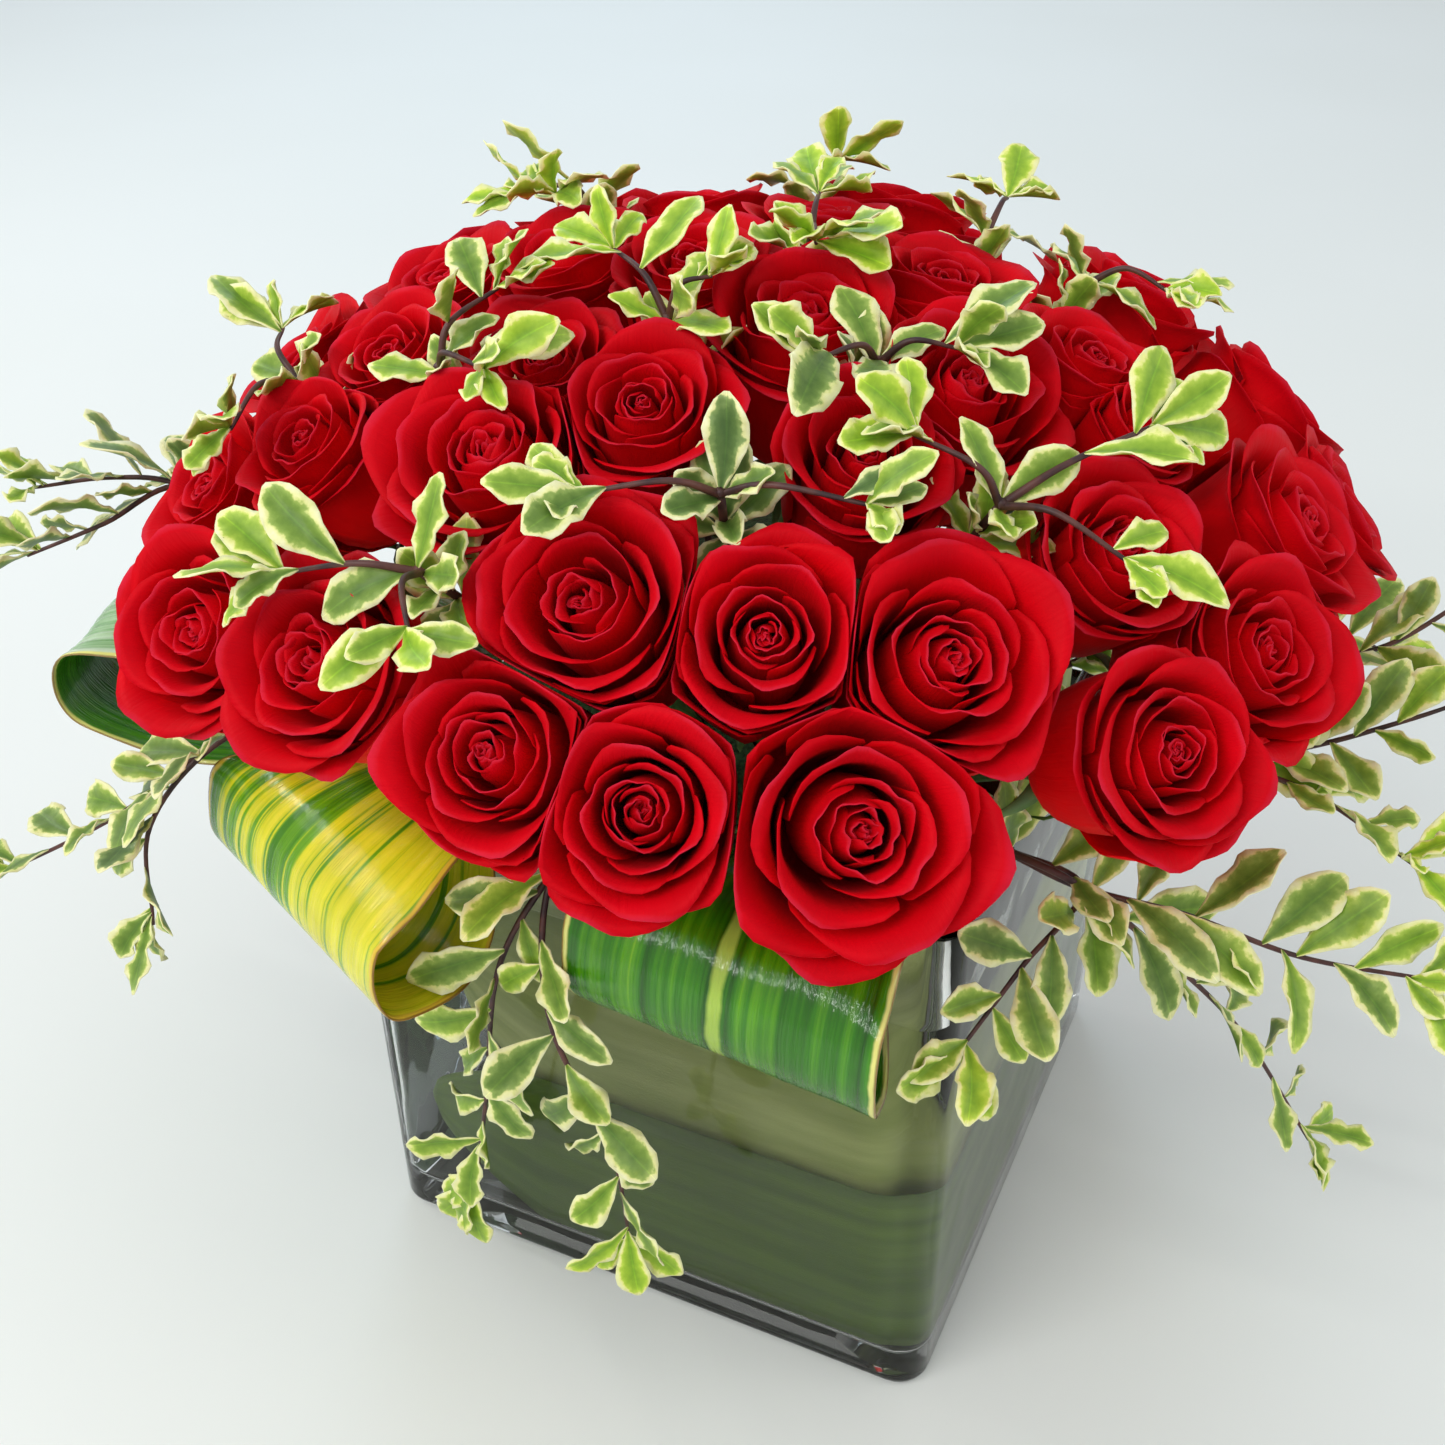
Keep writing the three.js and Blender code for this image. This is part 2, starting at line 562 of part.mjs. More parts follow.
// The foam with a plain square hole for each stem, all pointing at the focus.
function foamSolid() {
  const hole = (ray, radius, end) => {
    const line = new THREE.LineCurve3(alongRay(ray, end - HOLE.deeper), alongRay(ray, HOLE.mouth));
    return solidOf(tube(line, radius, HOLE.sides, 1));
  };
  const stems = roses.map(({ ray }) => hole(ray, HOLE.stem, STEM.end));
  const trunks = DOME_SPRIGS.map(({ exits }) => domePoint(...exits[0].at, 1).sub(FOCUS).normalize());
  const twigs = [...trunks, ...crossingRays].map((ray) => hole(ray, HOLE.twig, TWIG.end));
  return [...stems, ...twigs].reduce((foam, cut) => foam.subtract(cut), foamBody(0));
}

// A leaf laid round the inside of the glass, from a start on the front past the right side to a finish
// on the back. Its ends taper, and its start stands off the glass.
const LOWER_LINING = { inset: 5, start: -86, finish: 20, low: 12.4, high: 84, stand: 12 };
const UPPER_LINING = { inset: 10, start: -70, finish: -40, low: 62, high: 184, stand: 3 };
const LINING_BEND = 14;
const START_TAPER = 46;
const FINISH_TAPER = 90;
const TAPER_CURVE = 0.55;
const TIP_SHARE = 0.05;

function liningStops({ inset, start, finish }) {
  const half = VASE.side / 2 - VASE.wall - inset;
  const straight = half - LINING_BEND;
  const corner = (y, from) => [0, 0.5, 1].map((part) => {
    const angle = from + (part * Math.PI) / 2;
    return [straight + LINING_BEND * Math.cos(angle), y + LINING_BEND * Math.sin(angle)];
  });
  return [
    [start, -half], [start + 6, -half], [start + 20, -half], [start + START_TAPER, -half],
    ...corner(-straight, -Math.PI / 2), ...corner(straight, 0),
    [(straight + finish) / 2, half], [finish + 20, half], [finish, half],
  ];
}

function liningSolid(leaf, grown = 0) {
  const stops = liningStops(leaf);
  stops[0][0] -= grown;
  stops[stops.length - 1][0] -= grown;
  const place = (s, n) => {
    const [x, y] = stops[n];
    const fromStart = n < 4 ? (x - leaf.start) / START_TAPER : 1;
    const fromFinish = y > 0 ? (x - leaf.finish) / FINISH_TAPER : 1;
    const taper = clamp(Math.min(fromStart, fromFinish), 0, 1) ** TAPER_CURVE;
    const middle = (leaf.low + leaf.high) / 2;
    const reach = ((leaf.high - leaf.low) / 2) * (TIP_SHARE + (1 - TIP_SHARE) * taper) + grown;
    return vector(x, y + leaf.stand * (1 - clamp(fromStart, 0, 1)), middle + s * reach);
  };
  return solidOf(sheet([-1, 1], stops.length, place, SHEET + 2 * grown));
}

// The water fills the glass to its level, round the foam and the lining leaves.
const LINING_GAP = GAP + 0.1;

function waterSolid() {
  const { side, wall, corner, floor } = VASE;
  const inside = side - 2 * wall - 2 * GAP;
  const body = solidOf(prism(roundedSquare(inside, corner - wall + 1), floor + GAP, WATER_LEVEL, 2));
  return largest(body.subtract(foamBody(GAP))
    .subtract(liningSolid(LOWER_LINING, LINING_GAP))
    .subtract(liningSolid(UPPER_LINING, LINING_GAP)));
}

// The rolled leaves. Each is folded over the rim: up from inside the vase, out, round a nose and back
// over the rim beneath itself. middle is on the rim, whose outward azimuth is rim, and the roll swings
// to the azimuth nose. route is [out, height, half width] along the leaf, and flare makes the roll
// bigger towards its right end.
const ROLLED = [
  { name: 'rolled_leaf_front', look: 'rolled', middle: [48, -100], rim: 0, nose: 0, flare: 0.06,
    route: [
    [-24, 166, 16], [-21, 184, 24], [-14, 199, 32], [-2, 207.4, 39], [12, 211, 43], [27, 209, 45],
    [38, 199, 46], [41, 184, 46], [36, 172, 45], [24, 166, 43], [11, 172, 38], [5, 184, 33],
    [3, 197, 28], [-1, 203.3, 25], [-7, 201, 21], [-9.6, 192, 15], [-9.8, 180, 7]] },
  { name: 'rolled_leaf_corner', look: 'striped', middle: [-60, -100], rim: 0, nose: -22, flare: 0.26,
    route: [
    [-26, 166, 10], [-22, 186, 17], [-13, 201, 24], [0, 208.4, 31], [18, 211.4, 39], [33, 208, 45],
    [44, 198, 48], [48, 183, 48], [42, 170, 46], [29, 166, 42], [15, 173, 36], [7, 186, 29],
    [4, 197, 26], [-1, 203.3, 22], [-6.5, 201.1, 17], [-8.8, 193, 12], [-9.2, 182, 6]] },
  { name: 'rolled_leaf_left', look: 'rolled', middle: [-100, -48], rim: -90, nose: -83, flare: -0.05,
    route: [
    [-24, 166, 14], [-21, 184, 20], [-14, 200, 25], [-2, 207.6, 29], [20, 211, 34], [48, 214, 38],
    [80, 217, 41], [104, 211, 42], [113, 197, 42], [107, 184, 41], [88, 177, 40], [60, 176, 37],
    [34, 180, 33], [14, 190, 28], [5, 199.6, 25], [-1, 203.4, 23], [-7, 201, 19], [-10, 192, 13],
    [-10.4, 180, 6]] },
];
const SWING_REACH = 45;
const FLARE_REACH = [8, 33];
const RIM_REST = VASE.height + 3.5;

function rolledSolid({ middle, rim, nose, flare, route }) {
  const [near, far] = FLARE_REACH;
  const place = (s, n) => {
    const [reach, z, half] = route[n];
    const swing = clamp(reach / SWING_REACH, 0, 1);
    const out = outward(rim + (nose - rim) * swing);
    const wide = vector(-out.y, out.x, 0);
    const scale = 1 + flare * s * clamp((reach - near) / (far - near), 0, 1);
    return vector(...middle, RIM_REST + (z - RIM_REST) * scale)
      .addScaledVector(out, reach * scale)
      .addScaledVector(wide, s * half);
  };
  return solidOf(sheet([-1, 0, 1], route.length, place, SHEET));
}

// The whole

const arrangement = new THREE.Group();

function addPiece(name, solid, look) {
  const mesh = new THREE.Mesh(geometryOf(solid), new THREE.MeshStandardMaterial(COLOURS[look]));
  mesh.name = name;
  arrangement.add(mesh);
}

addPiece('glass_vase', vaseSolid(), 'glass');
addPiece('water', waterSolid(), 'water');
addPiece('foam_block', foamSolid(), 'foam');
addPiece('lining_leaf_lower', liningSolid(LOWER_LINING), 'lining');
addPiece('lining_leaf_upper', liningSolid(UPPER_LINING), 'paleLining');
for (const leaf of ROLLED) addPiece(leaf.name, rolledSolid(leaf), leaf.look);
roses.forEach((rose, n) => {
  addPiece(`rose_${String(n + 1).padStart(2, '0')}`, roseSolid(rose), 'rose');
});
DOME_SPRIGS.forEach((sprig, n) => addPiece(sprig.name, domeSprigSolid(sprig, n + 1), 'sprig'));
RIM_SPRIGS.forEach((sprig, n) => addPiece(sprig.name, rimSprigSolid(sprig, n + 21), 'sprig'));

export default arrangement;
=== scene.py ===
# %% [markdown]
# # Red roses in a glass cube
#
# This lesson dresses a dome of red roses in a square glass vase. A florist makes it from a block of wet
# foam in a vase of water, two leaves that line the glass, three glossy leaves rolled over the rim, forty
# or so roses pushed into the foam, and sprigs of variegated pittosporum between them.
#
# The solid model gives every piece its place. Here each one gets its fine surface: a function of two
# numbers, worked out for a whole grid of points at once with numpy, and a material made of nodes.

# %% Load the solid model
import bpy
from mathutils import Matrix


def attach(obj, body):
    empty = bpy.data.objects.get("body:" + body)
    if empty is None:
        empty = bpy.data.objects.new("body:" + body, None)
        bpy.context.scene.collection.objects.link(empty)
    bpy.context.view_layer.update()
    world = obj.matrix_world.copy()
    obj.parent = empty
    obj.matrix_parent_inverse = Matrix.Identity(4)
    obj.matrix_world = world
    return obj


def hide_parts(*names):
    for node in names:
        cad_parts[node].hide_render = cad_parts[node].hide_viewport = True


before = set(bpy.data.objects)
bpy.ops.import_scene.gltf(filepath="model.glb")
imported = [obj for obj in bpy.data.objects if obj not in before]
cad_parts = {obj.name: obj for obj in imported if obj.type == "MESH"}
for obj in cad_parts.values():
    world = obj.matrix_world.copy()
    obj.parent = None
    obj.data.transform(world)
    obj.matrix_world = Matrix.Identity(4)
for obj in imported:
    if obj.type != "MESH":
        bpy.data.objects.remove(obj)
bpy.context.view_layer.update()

from types import SimpleNamespace

import bpy
import numpy as np
from mathutils import Matrix

print("pieces of the solid model:", len(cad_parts))

# %% [markdown]
# ## Units, and a mesh from arrays
#
# A rose is easier to think about in millimetres, and the scene is in metres, so every function here
# takes millimetres and one helper turns them into metres as it makes the mesh. It takes a list of face
# arrays, because a tube has four-cornered sides and a three-cornered cap.

# %% Helpers for meshes
MM = 0.001


def put(name, data):
    """An object of this name for a mesh, a lamp or a camera, added to the scene."""
    thing = bpy.data.objects.new(name, data)
    bpy.context.scene.collection.objects.link(thing)
    return thing


def make_piece(name, points, faces, material, replaces, marks=None):
    """One object at the origin from points in millimetres, a list of arrays of corner numbers, and marks:
    a number for each point, which the material reads by name."""
    mesh = bpy.data.meshes.new(name)
    points = np.asarray(points, float).reshape(-1, 3)
    corners = np.concatenate([part.ravel() for part in faces]).astype(np.int32)
    sizes = np.concatenate([np.full(len(part), part.shape[1]) for part in faces])
    starts = np.concatenate([[0], np.cumsum(sizes)[:-1]]).astype(np.int32)
    mesh.vertices.add(len(points))
    mesh.vertices.foreach_set("co", (points * MM).astype(np.float32).ravel())
    mesh.loops.add(len(corners))
    mesh.loops.foreach_set("vertex_index", corners)
    mesh.polygons.add(len(sizes))
    mesh.polygons.foreach_set("loop_start", starts)
    mesh.update(calc_edges=True)
    mesh.validate()
    mesh.shade_smooth()
    for key, values in (marks or {}).items():
        layer = mesh.attributes.new(key, "FLOAT", "POINT")
        layer.data.foreach_set("value", np.asarray(values, np.float32).ravel())
    mesh.materials.append(material)
    piece = put(name, mesh)
    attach(piece, "root")
    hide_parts(*replaces)
    return piece


print("a millimetre is", MM, "of the scene's metres")

# %% [markdown]
# ## Thin sheets
#
# Petals and leaves are the same thing to a modeller: a thin sheet, much wider than it is thick. Each is
# worked out as a grid of points in the middle of the sheet, and the two faces are that grid moved to
# either side along its own normal. A strip round the border closes them. A Solidify modifier could do
# it too, but then each of a thousand petals would wait for it at every look.

# %% Helpers for thin sheets
BORDER_SHARE = 0.5


def unit(vectors):
    """Vectors divided by their own length."""
    vectors = np.asarray(vectors, float)
    return vectors / np.linalg.norm(vectors, axis=-1, keepdims=True)


def sheet_points(middle, thick):
    """The front and back points of thin sheets. middle holds sheets x rows x columns x 3; the normal at
    each point is the cross product of the steps across and along, and the border is half as thick."""
    across = np.gradient(middle, axis=2)
    along = np.gradient(middle, axis=1)
    normal = unit(np.cross(across, along) + 1e-9)
    half = np.full(middle.shape[:3] + (1,), thick / 2)
    half[:, [0, -1]] *= BORDER_SHARE
    half[:, :, [0, -1]] *= BORDER_SHARE
    both = np.stack([middle + normal * half, middle - normal * half], axis=1)
    return both.reshape(-1, 3)


def sheet_faces(count, rows, columns):
    """Corner numbers for count closed sheets: front faces, back faces the other way round, and the band
    round the border that joins them."""
    grid = np.arange(rows * columns).reshape(rows, columns)
    front = np.stack([grid[:-1, :-1], grid[:-1, 1:], grid[1:, 1:], grid[1:, :-1]], axis=-1).reshape(-1, 4)
    back = front[:, ::-1] + rows * columns
    border = np.concatenate([grid[0], grid[1:, -1], grid[-1, -2::-1], grid[-2:0:-1, 0]])
    after = np.roll(border, -1)
    band = np.stack([border, border + rows * columns, after + rows * columns, after], axis=-1)
    one = np.concatenate([front, back, band])
    return (one[None] + np.arange(count)[:, None, None] * 2 * rows * columns).reshape(-1, 4)


def make_sheets(name, middle, thick, material, slot, replaces, **marks):
    """Thin sheets as one piece. A mark has a number for every point of the middle, or, on an axis of its
    own after the first, one for the fronts and one for the backs."""
    sheets, rows, columns = middle.shape[:3]
    both = {key: np.broadcast_to(values if values.ndim == 4 else values[:, None], (sheets, 2, rows, columns))
            for key, values in marks.items()}
    return make_piece(name, sheet_points(middle, thick), [sheet_faces(sheets, rows, columns)], material,
                      replaces, both)


print("faces of a sheet of 9 x 9 points:", len(sheet_faces(1, 9, 9)))

# %% [markdown]
# ## Rings and tubes
#
# Stems and twigs are a circle carried along a path, and the vase is a rounded square carried up and down
# again. Both are stacks of rings. A tube's circle is kept square to its path by two directions worked out
# from a fixed one, which is enough for a stem that never loops.

# %% Helpers for stacks and tubes
def stack_faces(rings, points, closed=False):
    """Faces between neighbouring rings, and between the last and the first where closed is true."""
    here = np.arange(rings * points).reshape(rings, points)
    beside = np.roll(here, -1, axis=1)
    above, above_beside = np.roll(here, -1, axis=0), np.roll(beside, -1, axis=0)
    faces = np.stack([here, beside, above_beside, above], axis=-1)
    return (faces if closed else faces[:-1]).reshape(-1, 4)


def closed_stack(rings, ends):
    """Points and faces of a stack of rings x points x 3. Either end closes in a fan on a point of its own."""
    count, around = rings.shape[:2]
    here = np.arange(around)
    beside = np.roll(here, -1)
    centre = np.full(around, count * around)
    last = (count - 1) * around
    caps = np.concatenate([np.stack([beside, here, centre], axis=-1),
                           np.stack([last + here, last + beside, centre + 1], axis=-1)])
    return np.concatenate([rings.reshape(-1, 3), ends]), stack_faces(count, around), caps


def tube(path, radius, sides):
    """A closed tube: path is points x 3 and radius a number for each point. Ring k is the circle of that
    radius round path point k."""
    path = np.asarray(path, float)
    radius = np.broadcast_to(radius, len(path))
    ahead = unit(np.gradient(path, axis=0))
    lies_flat = np.abs(ahead.mean(axis=0)[2]) < 0.8
    fixed = np.array([0.0, 0.0, 1.0]) if lies_flat else np.array([1.0, 0.0, 0.0])
    side = unit(np.cross(fixed, ahead))
    up = np.cross(ahead, side)
    turn = np.linspace(0, 2 * np.pi, sides, endpoint=False)[None, :, None]
    ring = side[:, None] * np.cos(turn) + up[:, None] * np.sin(turn)
    return closed_stack(path[:, None] + ring * radius[:, None, None], path[[0, -1]])


print("points of a tube with 2 rings of 8:", len(tube([(0, 0, 0), (0, 0, 10)], 1, 8)[0]))

# %% [markdown]
# ## Nodes for a finish
#
# Every material is a Principled shader fed by a few noise and colour nodes. Small helpers add a node
# and set its inputs, so that each finish below reads as a short recipe.

# %% Helpers for nodes
def set_sockets(node, values):
    """Set inputs of a node from keywords, where an underscore stands for a space in the socket's name."""
    for name, value in values.items():
        node.inputs[name.replace("_", " ")].default_value = value


def finish_base(name, colour, roughness, **sockets):
    """A new material, its node tree and its Principled shader."""
    material = bpy.data.materials.new(name)
    material.use_nodes = True
    material.diffuse_color = (*colour, 1)
    shader = material.node_tree.nodes["Principled BSDF"]
    set_sockets(shader, {"Base_Color": (*colour, 1), "Roughness": roughness, **sockets})
    return material, material.node_tree, shader


def add(tree, kind, links=None, **sockets):
    """A node of a kind, with some inputs linked and some set."""
    node = tree.nodes.new(kind)
    set_sockets(node, sockets)
    for name, source in (links or {}).items():
        tree.links.new(source, node.inputs[name])
    return node


def feed(tree, socket, value):
    """Link a socket to another, or set it to a number or a colour."""
    if isinstance(value, tuple):
        socket.default_value = (*value, 1)
    elif isinstance(value, (int, float)):
        socket.default_value = value
    else:
        tree.links.new(value, socket)


def mark(tree, name):
    """The number that the mesh carries at each point under this name."""
    node = tree.nodes.new("ShaderNodeAttribute")
    node.attribute_name = name
    return node.outputs["Fac"]


def maths(tree, operation, first, second=0.0):
    """first (operation) second, where each is a number or a socket."""
    node = tree.nodes.new("ShaderNodeMath")
    node.operation = operation
    feed(tree, node.inputs[0], first)
    feed(tree, node.inputs[1], second)
    return node.outputs[0]


print("materials so far:", len(bpy.data.materials))

# %% Helpers for colour and relief
def ramp(tree, value, stops):
    """A colour for a number, from stops of (place, colour), where a lone number is a grey."""
    node = tree.nodes.new("ShaderNodeValToRGB")
    tree.links.new(value, node.inputs["Fac"])
    band = node.color_ramp
    while len(band.elements) < len(stops):
        band.elements.new(0.5)
    for element, (at, colour) in zip(band.elements, stops):
        element.position = at
        element.color = (*colour, 1) if isinstance(colour, tuple) else (colour, colour, colour, 1)
    return node.outputs["Color"]


def blend(tree, share, first, second, kind="MIX"):
    """Two colours mixed by a share, each a socket or three numbers."""
    node = tree.nodes.new("ShaderNodeMix")
    node.data_type = "RGBA"
    node.blend_type = kind
    for place, value in zip((0, 6, 7), (share, first, second)):
        feed(tree, node.inputs[place], value)
    return node.outputs[2]


def times(tree, first, second):
    """Two colours multiplied, which darkens one by the other."""
    return blend(tree, 1.0, first, second, "MULTIPLY")


def noise(tree, scale, detail=3.0, vector=None):
    """Cloudy noise, at so many features to the metre, on the object's coordinates unless told otherwise."""
    place = vector or tree.nodes.new("ShaderNodeTexCoord").outputs["Object"]
    return add(tree, "ShaderNodeTexNoise", {"Vector": place}, Scale=scale, Detail=detail).outputs["Fac"]


def paint(tree, shader, colour):
    """Feed the shader's colour."""
    tree.links.new(colour, shader.inputs["Base Color"])


def bump(tree, shader, height, distance, strength):
    """Relief of so many metres, from a height between 0 and 1."""
    node = add(tree, "ShaderNodeBump", {"Height": height}, Strength=strength, Distance=distance)
    tree.links.new(node.outputs["Normal"], shader.inputs["Normal"])


print("helpers:", *(step.__name__ for step in (ramp, blend, times, noise, paint, bump)))

# %% [markdown]
# ## The dome
#
# The blooms end on a low dome, half an ellipsoid that sits over the rim. A place on it is an azimuth,
# turned from the broad front towards the right, and a reach from the middle line. All stems aim at one
# point deep in the foam, as a florist's do, and that is what makes the dome round from every side.

# %% The dome
FOCUS = np.array([0.0, -5.0, 150.0])
DOME = SimpleNamespace(radius=186.0, rise=110.0, middle=228.0)


def outward(azimuth):
    """The level direction at an azimuth in degrees from the front, -Y, towards +X."""
    turn = np.radians(azimuth)
    return np.stack([np.sin(turn), -np.cos(turn), 0 * turn], axis=-1)


def dome_point(azimuth, reach, lift=0.0):
    """The point of the dome, or of one a lift larger, at an azimuth and a reach from its middle line. Its
    height is the rise times the root of 1 less the square of the reach's share of the radius."""
    scaled = min(reach / (DOME.radius + lift), 0.999)
    point = outward(azimuth) * reach
    point[2] = DOME.middle + (DOME.rise + lift) * np.sqrt(1 - scaled * scaled)
    return point


def dome_normal(point):
    """The outward direction of the ellipsoid through a point: each coordinate over its half axis squared."""
    scale = np.array([DOME.radius, DOME.radius, DOME.rise]) ** 2
    return unit((point - np.array([0, 0, DOME.middle])) / scale)


print("top of the dome:", dome_point(0, 0)[2], "mm")

# %% The roses on it
BUD_HEIGHT = 18.0
HEIGHT_FOR_WIDTH = 0.75
FRONT_LEAN = np.array([0.22, -0.42, 0.3])

# Each rose: azimuth, reach, how wide it opens and, for one, a turn of its face.
SKIRT = [
    (31, 172, 58), (14, 170, 46), (1, 166, 48), (-20, 163, 48), (-38, 174, 50, 20), (-56, 162, 46),
    (-87, 162, 54), (-117, 166, 58), (-147, 168, 58), (-177, 168, 58), (153, 166, 58),
    (125, 165, 54), (107, 172, 44), (92, 158, 50), (74, 167, 48), (59, 172, 48),
]
SHOULDER = [
    (5, 133, 52), (24, 137, 44), (41, 145, 52), (65, 135, 42), (87, 115, 30), (135, 123, 50),
    (178, 102, 50), (-125, 110, 46), (-86, 103, 44), (-58, 108, 40), (-47, 134, 40),
    (-19, 105, 54), (40, 92, 40), (94, 95, 42),
]
CROWN = [
    (0, 77, 44), (-29, 75, 37), (66, 79, 50), (45, 33, 50), (115, 52, 48), (-84, 62, 44),
    (-76, 20, 44), (-140, 74, 46), (180, 48, 44),
]


def turned(vector, degrees):
    """A vector turned about the upright."""
    c, s = np.cos(np.radians(degrees)), np.sin(np.radians(degrees))
    return np.array([vector[0] * c - vector[1] * s, vector[0] * s + vector[1] * c, vector[2]])


def plan_rose(index, azimuth, reach, opening, turn=0.0):
    """Where a rose's stem, its bent middle line and its opening lie. A wide bloom is also a tall one."""
    lip = dome_point(azimuth, reach)
    ray = unit(lip - FOCUS)
    lean = FRONT_LEAN if lip[1] < 0 else 0
    axis = unit(turned(ray + dome_normal(lip) + lean, turn))
    height = BUD_HEIGHT + HEIGHT_FOR_WIDTH * opening
    return SimpleNamespace(
        index=index, name=f"rose_{index + 1:02d}", lip=lip, ray=ray, height=height, radius=opening / 2,
        base=lip - ray * height, bend=lip - axis * height / 2,
        side=unit(np.array([-axis[1], axis[0], 0.0])))


roses = [plan_rose(n, *row) for n, row in enumerate(SKIRT + SHOULDER + CROWN)]
print("roses:", len(roses))

# %% [markdown]
# ## Sprigs, first as plans
#
# The twigs come up between the blooms, so their lines are needed before the petals: each bloom leaves
# them room. A sprig in the dome has exits, at an azimuth and a reach, where a branch comes out between
# blooms, and each of its twigs ends at an azimuth, a reach and a lift over the dome, with so many leaves.
# A trailing one crosses the rim at a point, and its branches go on from there by stops.

# %% Plans of the sprigs
DOME_SPRIGS = {
    "sprig_crown_left": [((-115, 80), [(-98, 72, 10, 6), (-112, 104, 8, 5)])],
    "sprig_shoulder_left": [((-40, 96), [(-44, 76, 10, 6), (-24, 94, 8, 5)]),
                            ((-60, 133), [(-50, 150, 9, 5), (-70, 140, 9, 5)])],
    "sprig_crown_front": [((-10, 46), [(-44, 44, 10, 6), (4, 40, 10, 6)]),
                          ((129, 13), [(62, 22, 9, 5), (170, 28, 9, 5)])],
    "sprig_middle_front": [((18, 105), [(2, 118, 8, 5), (36, 118, 8, 5)]),
                           ((50, 65), [(33, 74, 9, 5), (62, 78, 8, 5)])],
    "sprig_shoulder_right": [((53, 116), [(44, 100, 8, 5), (60, 144, 8, 5), (76, 122, 10, 6)])],
    "sprig_skirt_left": [((-13, 139), [(-25, 158, 8, 6), (-8, 156, 8, 4)])],
    "sprig_crown_back": [((144, 77), [(152, 94, 8, 5)]), ((122, 94), [(116, 114, 8, 5)]),
                         ((-166, 80), [(-176, 66, 10, 5)])],
}
RIM_SPRIGS = {
    "sprig_left_high": ((-143, -50, 240), [
        [(-168, -62, 258), (-186, -72, 262), (-206, -86, 261)],
        [(-168, -62, 258), (-182, -84, 253), (-200, -100, 246)]]),
    "sprig_left_low": ((-104, -86, 213), [
        [(-124, -114, 209), (-152, -134, 186), (-190, -150, 162)],
        [(-124, -114, 209), (-138, -136, 188), (-134, -148, 160)]]),
    "sprig_front": ((-4, -104, 211), [
        [(-10, -124, 202), (-22, -134, 172), (-34, -130, 112), (-48, -124, 52)],
        [(-8, -126, 202), (-2, -140, 166), (12, -136, 118), (12, -128, 66)]]),
    "sprig_right_front": ((104, -70, 211), [
        [(124, -70, 205), (147, -46, 167), (170, -28, 130), (196, -10, 76)],
        [(124, -70, 205), (152, -66, 202), (182, -56, 190), (214, -44, 184)],
        [(124, -70, 205), (116, -94, 194), (106, -114, 176)]]),
    "sprig_right_middle": ((104, -14, 211), [
        [(138, -10, 212), (172, -10, 210), (204, -18, 200)],
        [(138, -10, 212), (166, 8, 211), (192, 18, 222), (208, 22, 232)]]),
    "sprig_right_back": ((104, 40, 211), [
        [(144, 54, 211), (176, 66, 212), (198, 78, 228), (208, 84, 242)],
        [(144, 54, 211), (164, 82, 206), (184, 96, 194)]]),
}

twig_rays = [unit(dome_point(*at) - FOCUS) for exits in DOME_SPRIGS.values() for at, _ in exits]
twig_rays += [unit(np.array(crossing, float) - FOCUS) for crossing, _ in RIM_SPRIGS.values()]
print("twigs that pass between blooms:", len(twig_rays))

# %% [markdown]
# ## A cell for each bloom
#
# Forty roses in a dome press each other into shape. A simulation of soft petals would find that shape
# slowly. Instead, every bloom gets a cell: flat walls through the focus, between it and each neighbour,
# so that the cells are slices of one fan and never meet. A petal that would reach past a share of the
# room it has is squeezed, more and more, and never touches the wall.

# %% Walls between blooms
NEIGHBOUR_ANGLE = np.radians(48)
ROSE_CLEAR = 0.3
TWIG_CLEAR = 2.2
BLOOM_FLOOR = 217.0


def wall_between(rose, other, share, clear):
    """A wall through the focus, turned from the rose's own ray towards another by a share of the angle
    between them, as its normal and the greatest value of normal times point behind it."""
    angle = np.arccos(np.clip(rose.ray @ other, -1, 1))
    towards = unit(other - rose.ray * (rose.ray @ other))
    normal = towards * np.cos(angle * share) - rose.ray * np.sin(angle * share)
    return normal, normal @ FOCUS - clear


def near(first, second):
    """Whether two rays are close enough for a wall between them."""
    return np.arccos(np.clip(first @ second, -1, 1)) < NEIGHBOUR_ANGLE


for rose in roses:
    walls = [wall_between(rose, other.ray, rose.radius / (rose.radius + other.radius), ROSE_CLEAR)
             for other in roses if other is not rose and near(rose.ray, other.ray)]
    walls += [wall_between(rose, ray, 1, TWIG_CLEAR) for ray in twig_rays if near(rose.ray, ray)]
    walls.append((np.array([0, 0, -1.0]), -BLOOM_FLOOR))
    rose.normals = np.array([normal for normal, _ in walls])
    rose.limits = np.array([limit for _, limit in walls])
print("walls round a bloom, at most:", max(len(rose.limits) for rose in roses))

# %% Places inside a cell
FREE_SHARE = 0.84


